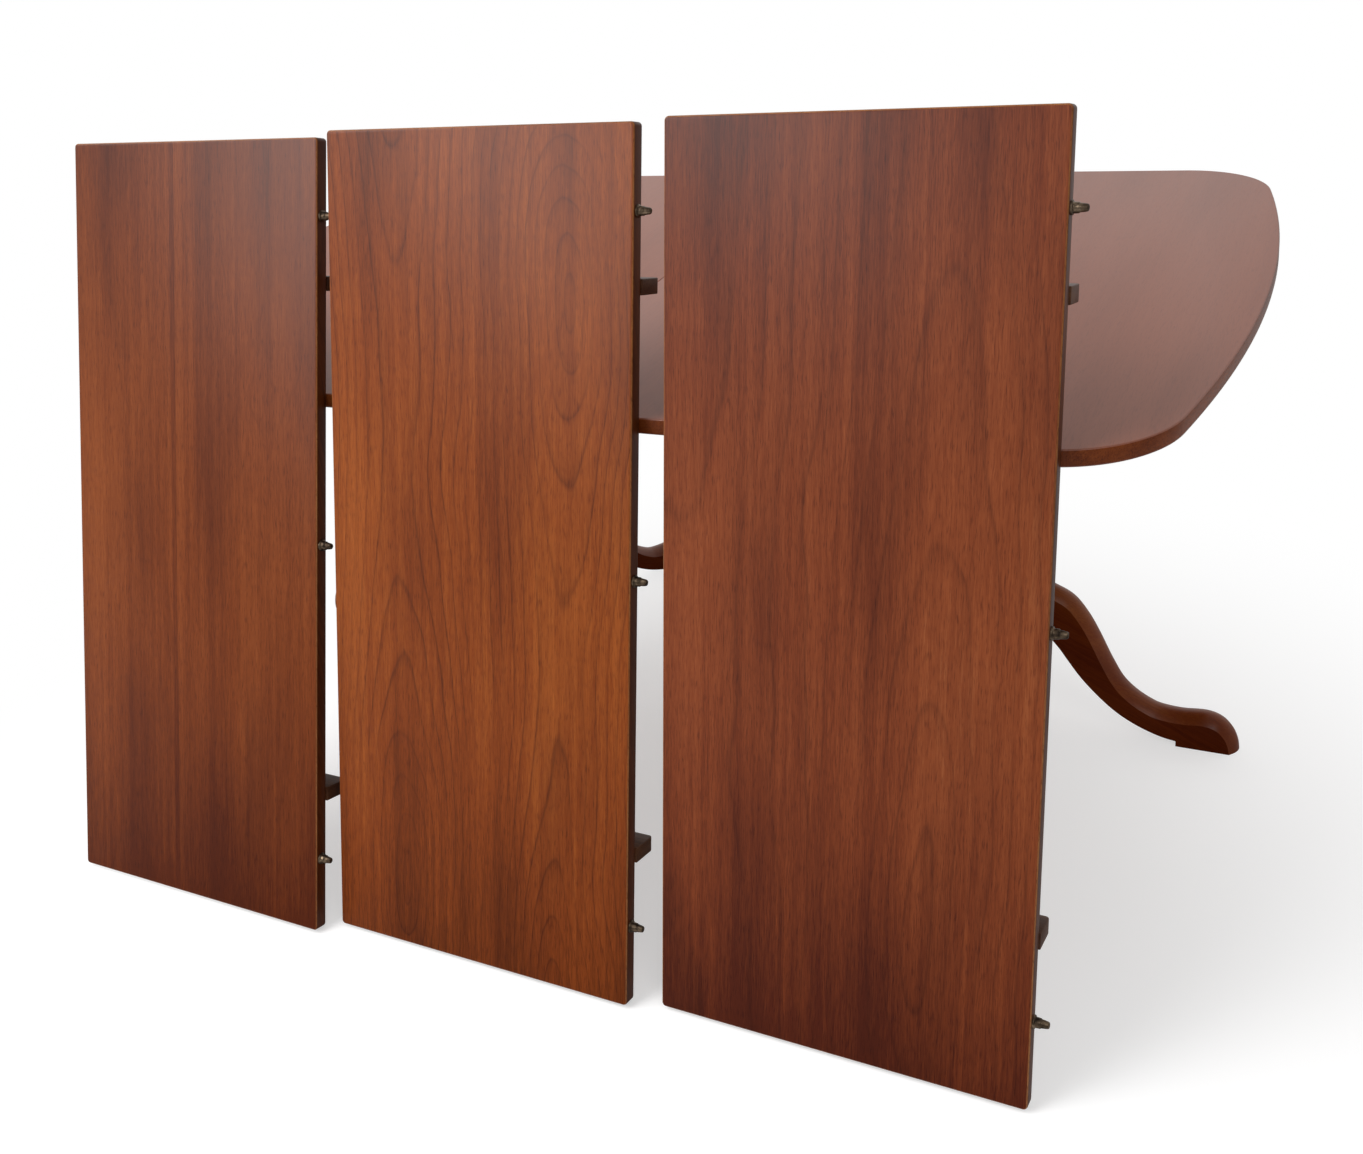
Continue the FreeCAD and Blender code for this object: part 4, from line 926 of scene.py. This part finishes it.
for name, hand, first_turn, legs in HALVES:
    body = name + "_half"
    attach(make_half_top(name + "_top", hand), body)
    column = make_column(name + "_column", hand * COLUMN_X)
    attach(column, body)
    for step, which in enumerate(legs):
        leg = make_leg("%s_%s_leg" % (name, which), hand * COLUMN_X,
                       first_turn + LEG_SPACING * step)
        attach(leg, body)
    block = paint(eased_copy(name + "_cap_block", CAP_ARRIS), PEDESTAL_FINISH)
    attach(block, body)

starts = [Vector((-HALF_SPLIT, SET_BACK + y, BOARD_MIDDLE)) for y in PIN_PLACES]
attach(make_pins("left_joint_pins", starts), "left_half")

# Carried-over nodes keep their CAD shape. The first word here that a name holds is its finish.
FINISH_OF = [("rail", SLIDE_FINISH), ("crossbar", CLEAT_FINISH), ("cleat", CLEAT_FINISH),
             ("lock", STEEL), ("keeper", STEEL), ("", IRON)]
for node, part in nodes.items():
    if not part.hide_render:
        paint(part, next(finish for word, finish in FINISH_OF if word in node))

# Screws of the table in mm: where each row is, and the z of the face that it is driven into
CAP_SCREWS = (-115, 0, 115)
CAP_FACE = CAP_UNDERSIDE / MM
CLEAT_FACE = 683
END_CLEAT_X = 741
END_CLEAT_SCREWS = (-290, -145, 0, 145, 290)
CENTRE_CLEAT_X = 60
CENTRE_CLEAT_SCREWS = (-120, 0, 120)
RAIL_FACE = 648
RAIL_Y = {"left": 185, "right": 252}
RAIL_SCREWS = (100, 290, 480, 660)
SPIDER_FACE = 181
SPIDER_SCREWS = (52, 84)
LOCK_FACE = 705
LOCK_Y = 400
# The middle of a lock's or a keeper's plate, and how far its screws are from there
LOCK_SCREWS = {"left": (-39.15, 25, 15), "right": (25.15, 12, 12)}
CROSSBAR_FACE = 626.5
CROSSBAR_X = 38
CROSSBAR_SCREWS = (207, 230)
BEARER_SCREWS = (52, 172, 292, 412)

screw_sets = []
small_sets = []
for name, hand, first_turn, legs in HALVES:
    column_x = hand * COLUMN_X / MM
    places = screw_rows([column_x + CAP_SCREWS[0], column_x + CAP_SCREWS[-1]], CAP_SCREWS,
                        CAP_FACE)
    places += screw_rows([hand * END_CLEAT_X], END_CLEAT_SCREWS, CLEAT_FACE)
    places += screw_rows([hand * CENTRE_CLEAT_X], CENTRE_CLEAT_SCREWS, CLEAT_FACE)
    # Only the ends of the rails that lie under their own half are screwed to it
    for side in (-1, 1):
        places += screw_rows([hand * x for x in RAIL_SCREWS], [side * RAIL_Y[name]],
                             RAIL_FACE)
    for step in range(len(legs)):
        angle = math.radians(first_turn + LEG_SPACING * step)
        for reach in SPIDER_SCREWS:
            places += screw_rows([column_x + reach * math.cos(angle)],
                                 [reach * math.sin(angle)], SPIDER_FACE)
    screw_sets.append((name + "_half_screws", name + "_half", places, 1.0))
    middle, half_x, half_y = LOCK_SCREWS[name]
    places = []
    for side in (-1, 1):
        places += screw_rows((middle - half_x, middle + half_x),
                             (side * LOCK_Y - half_y, side * LOCK_Y + half_y), LOCK_FACE)
    small_sets.append((name + "_half_small_screws", name + "_half", places, SMALL_SCREW_SCALE))
places = []
for side in (-1, 1):
    places += screw_rows((-CROSSBAR_X, CROSSBAR_X), [side * y for y in CROSSBAR_SCREWS],
                         CROSSBAR_FACE)
screw_sets.append(("middle_frame_screws", "middle_frame", places, 1.0))
screw_sets += small_sets
# Bearer screws face away from the leaf's back
for number in range(LEAF_COUNT):
    matrix = leaf_matrix(number)
    back = (matrix.to_3x3() @ Vector((0, 1, 0))).normalized()
    places = [(matrix @ Vector((x * MM, BEARER_DEPTH, HALF_WIDTH + side * BEARER_PLACE)), back)
              for side in (-1, 1) for x in BEARER_SCREWS]
    body = "leaf_%d" % (number + 1)
    screw_sets.append((body + "_screws", body, places, 1.0))

head = screw_head()
tree = screw_tree(head, STEEL)
for seed, (name, body, places, scale) in enumerate(screw_sets, 1):
    make_screws(name, body, places, scale, seed, tree)
bpy.data.objects.remove(head)

# Stage: a matt paper floor, lifted for the camera by a little glow. It keeps the shadows within
# SHADOW_REACH of its centre, and further out it fades to the white surround.
FLOOR_HALF_SIDE = 40
FLOOR_PAPER = "#D4D4D4"
FLOOR_GLOW = 0.42
SHADOW_CENTRE = (0.25, -0.50, 0)
SHADOW_REACH = 0.45
WHITE_REACH = 1.5
WHITE = (1, 1, 1, 1)

bm = bmesh.new()
bmesh.ops.create_grid(bm, x_segments=1, y_segments=1, size=FLOOR_HALF_SIDE)
floor = new_piece("floor", bm)
paper, tree = new_material("white_paper_floor")
path = add(tree, "ShaderNodeLightPath")
coords = add(tree, "ShaderNodeTexCoord")
shaded = add(tree, "ShaderNodeMapping", {"Vector": coords.outputs["Object"],
                                         "Location": SHADOW_CENTRE}, vector_type="TEXTURE")
away = add(tree, "ShaderNodeVectorMath", {0: shaded}, operation="LENGTH")
outer = add(tree, "ShaderNodeMapRange", {"Value": away.outputs["Value"],
                                         "From Min": SHADOW_REACH, "From Max": WHITE_REACH},
            interpolation_type="SMOOTHSTEP")
far_seen = add(tree, "ShaderNodeMath", {0: outer, 1: path.outputs["Is Camera Ray"]},
               operation="MULTIPLY")
matt = add(tree, "ShaderNodeBsdfDiffuse", {"Color": linear(FLOOR_PAPER)})
glow = add(tree, "ShaderNodeEmission", {"Color": WHITE, "Strength": FLOOR_GLOW})
near_seen = add(tree, "ShaderNodeMixShader", {0: path.outputs["Is Camera Ray"], 2: glow})
near = add(tree, "ShaderNodeAddShader", {0: matt, 1: near_seen})
white = add(tree, "ShaderNodeEmission", {"Color": WHITE, "Strength": 1.0})
both = add(tree, "ShaderNodeMixShader", {0: far_seen, 1: near, 2: white})
# Seen from below, the floor is clear, so that the underside of the table shows
side = add(tree, "ShaderNodeNewGeometry")
clear = add(tree, "ShaderNodeBsdfTransparent")
one_sided = add(tree, "ShaderNodeMixShader",
                {0: side.outputs["Backfacing"], 1: both, 2: clear})
add(tree, "ShaderNodeOutputMaterial", {"Surface": one_sided})
paint(floor, paper)

# Surround: white to the camera, and for the object a soft room that is brighter behind the table
BRIGHT_SIDE = (-0.35, 0.94, 0)
# The room goes from its darkest to white over this share to either side of its middle
ROOM_TURN = 0.6
ROOM_DARKEST = 0.22

world = bpy.data.worlds.new("studio")
scene.world = world
world.use_nodes = True
tree = world.node_tree
tree.nodes.clear()
coords = add(tree, "ShaderNodeTexCoord")
facing = add(tree, "ShaderNodeVectorMath", {0: coords.outputs["Generated"], 1: BRIGHT_SIDE},
             operation="DOT_PRODUCT")
bright = add(tree, "ShaderNodeMapRange",
             {"Value": facing.outputs["Value"], "From Min": -ROOM_TURN, "From Max": ROOM_TURN,
              "To Min": ROOM_DARKEST, "To Max": 1.0})
path = add(tree, "ShaderNodeLightPath")
level = add(tree, "ShaderNodeMix", {0: path.outputs["Is Camera Ray"], 2: bright, 3: 1.0},
            data_type="FLOAT")
surround = add(tree, "ShaderNodeBackground", {"Color": WHITE, "Strength": level})
add(tree, "ShaderNodeOutputWorld", {"Surface": surround})


def softbox(name, place, aim, size, power):
    data = bpy.data.lights.new(name, "AREA")
    data.shape = "RECTANGLE"
    data.size, data.size_y = size
    data.energy = power
    lamp = bpy.data.objects.new(name, data)
    scene.collection.objects.link(lamp)
    lamp.location = place
    lamp.rotation_euler = (Vector(aim) - Vector(place)).to_track_quat("-Z", "Y").to_euler()


softbox("key", place=(-2.6, -2.0, 4.2), aim=(0, 0, 0.5), size=(3.0, 3.0), power=150)
softbox("sheen", place=(-2.4, -3.9, 2.8), aim=(0, -0.4, 0.7), size=(2.8, 1.6), power=85)
softbox("fill", place=(2.6, -3.2, 3.4), aim=(0, 0, 0.6), size=(2.6, 2.0), power=40)

# Camera: position, heading and lens fitted to the photograph
PICTURE_WIDTH = 1363
PICTURE_HEIGHT = 1154
FOCAL_PIXELS = 1511.3
LENS_CENTRE_PIXELS = (541.5, 427.9)
CAMERA_PLACE = (1.01965, -1.93499, 1.44343)
HEADING = math.radians(-32.368)
TILT = math.radians(22.459)
ROLL = math.radians(-8.773)

forward = Vector((math.sin(HEADING) * math.cos(TILT), math.cos(HEADING) * math.cos(TILT),
                  -math.sin(TILT)))
level_right = Vector((math.cos(HEADING), -math.sin(HEADING), 0))
level_up = level_right.cross(forward)
right = math.cos(ROLL) * level_right + math.sin(ROLL) * level_up
up = -math.sin(ROLL) * level_right + math.cos(ROLL) * level_up
lens = bpy.data.cameras.new("camera")
camera = bpy.data.objects.new("camera", lens)
scene.collection.objects.link(camera)
camera.matrix_world = (Matrix.Translation(CAMERA_PLACE)
                       @ Matrix((right, up, -forward)).transposed().to_4x4())
lens.sensor_fit = "HORIZONTAL"
lens.sensor_width = 36
lens.lens = FOCAL_PIXELS / PICTURE_WIDTH * lens.sensor_width
lens.shift_x = (PICTURE_WIDTH / 2 - LENS_CENTRE_PIXELS[0]) / PICTURE_WIDTH
lens.shift_y = (LENS_CENTRE_PIXELS[1] - PICTURE_HEIGHT / 2) / PICTURE_WIDTH
scene.camera = camera
scene.view_settings.view_transform = "Standard"
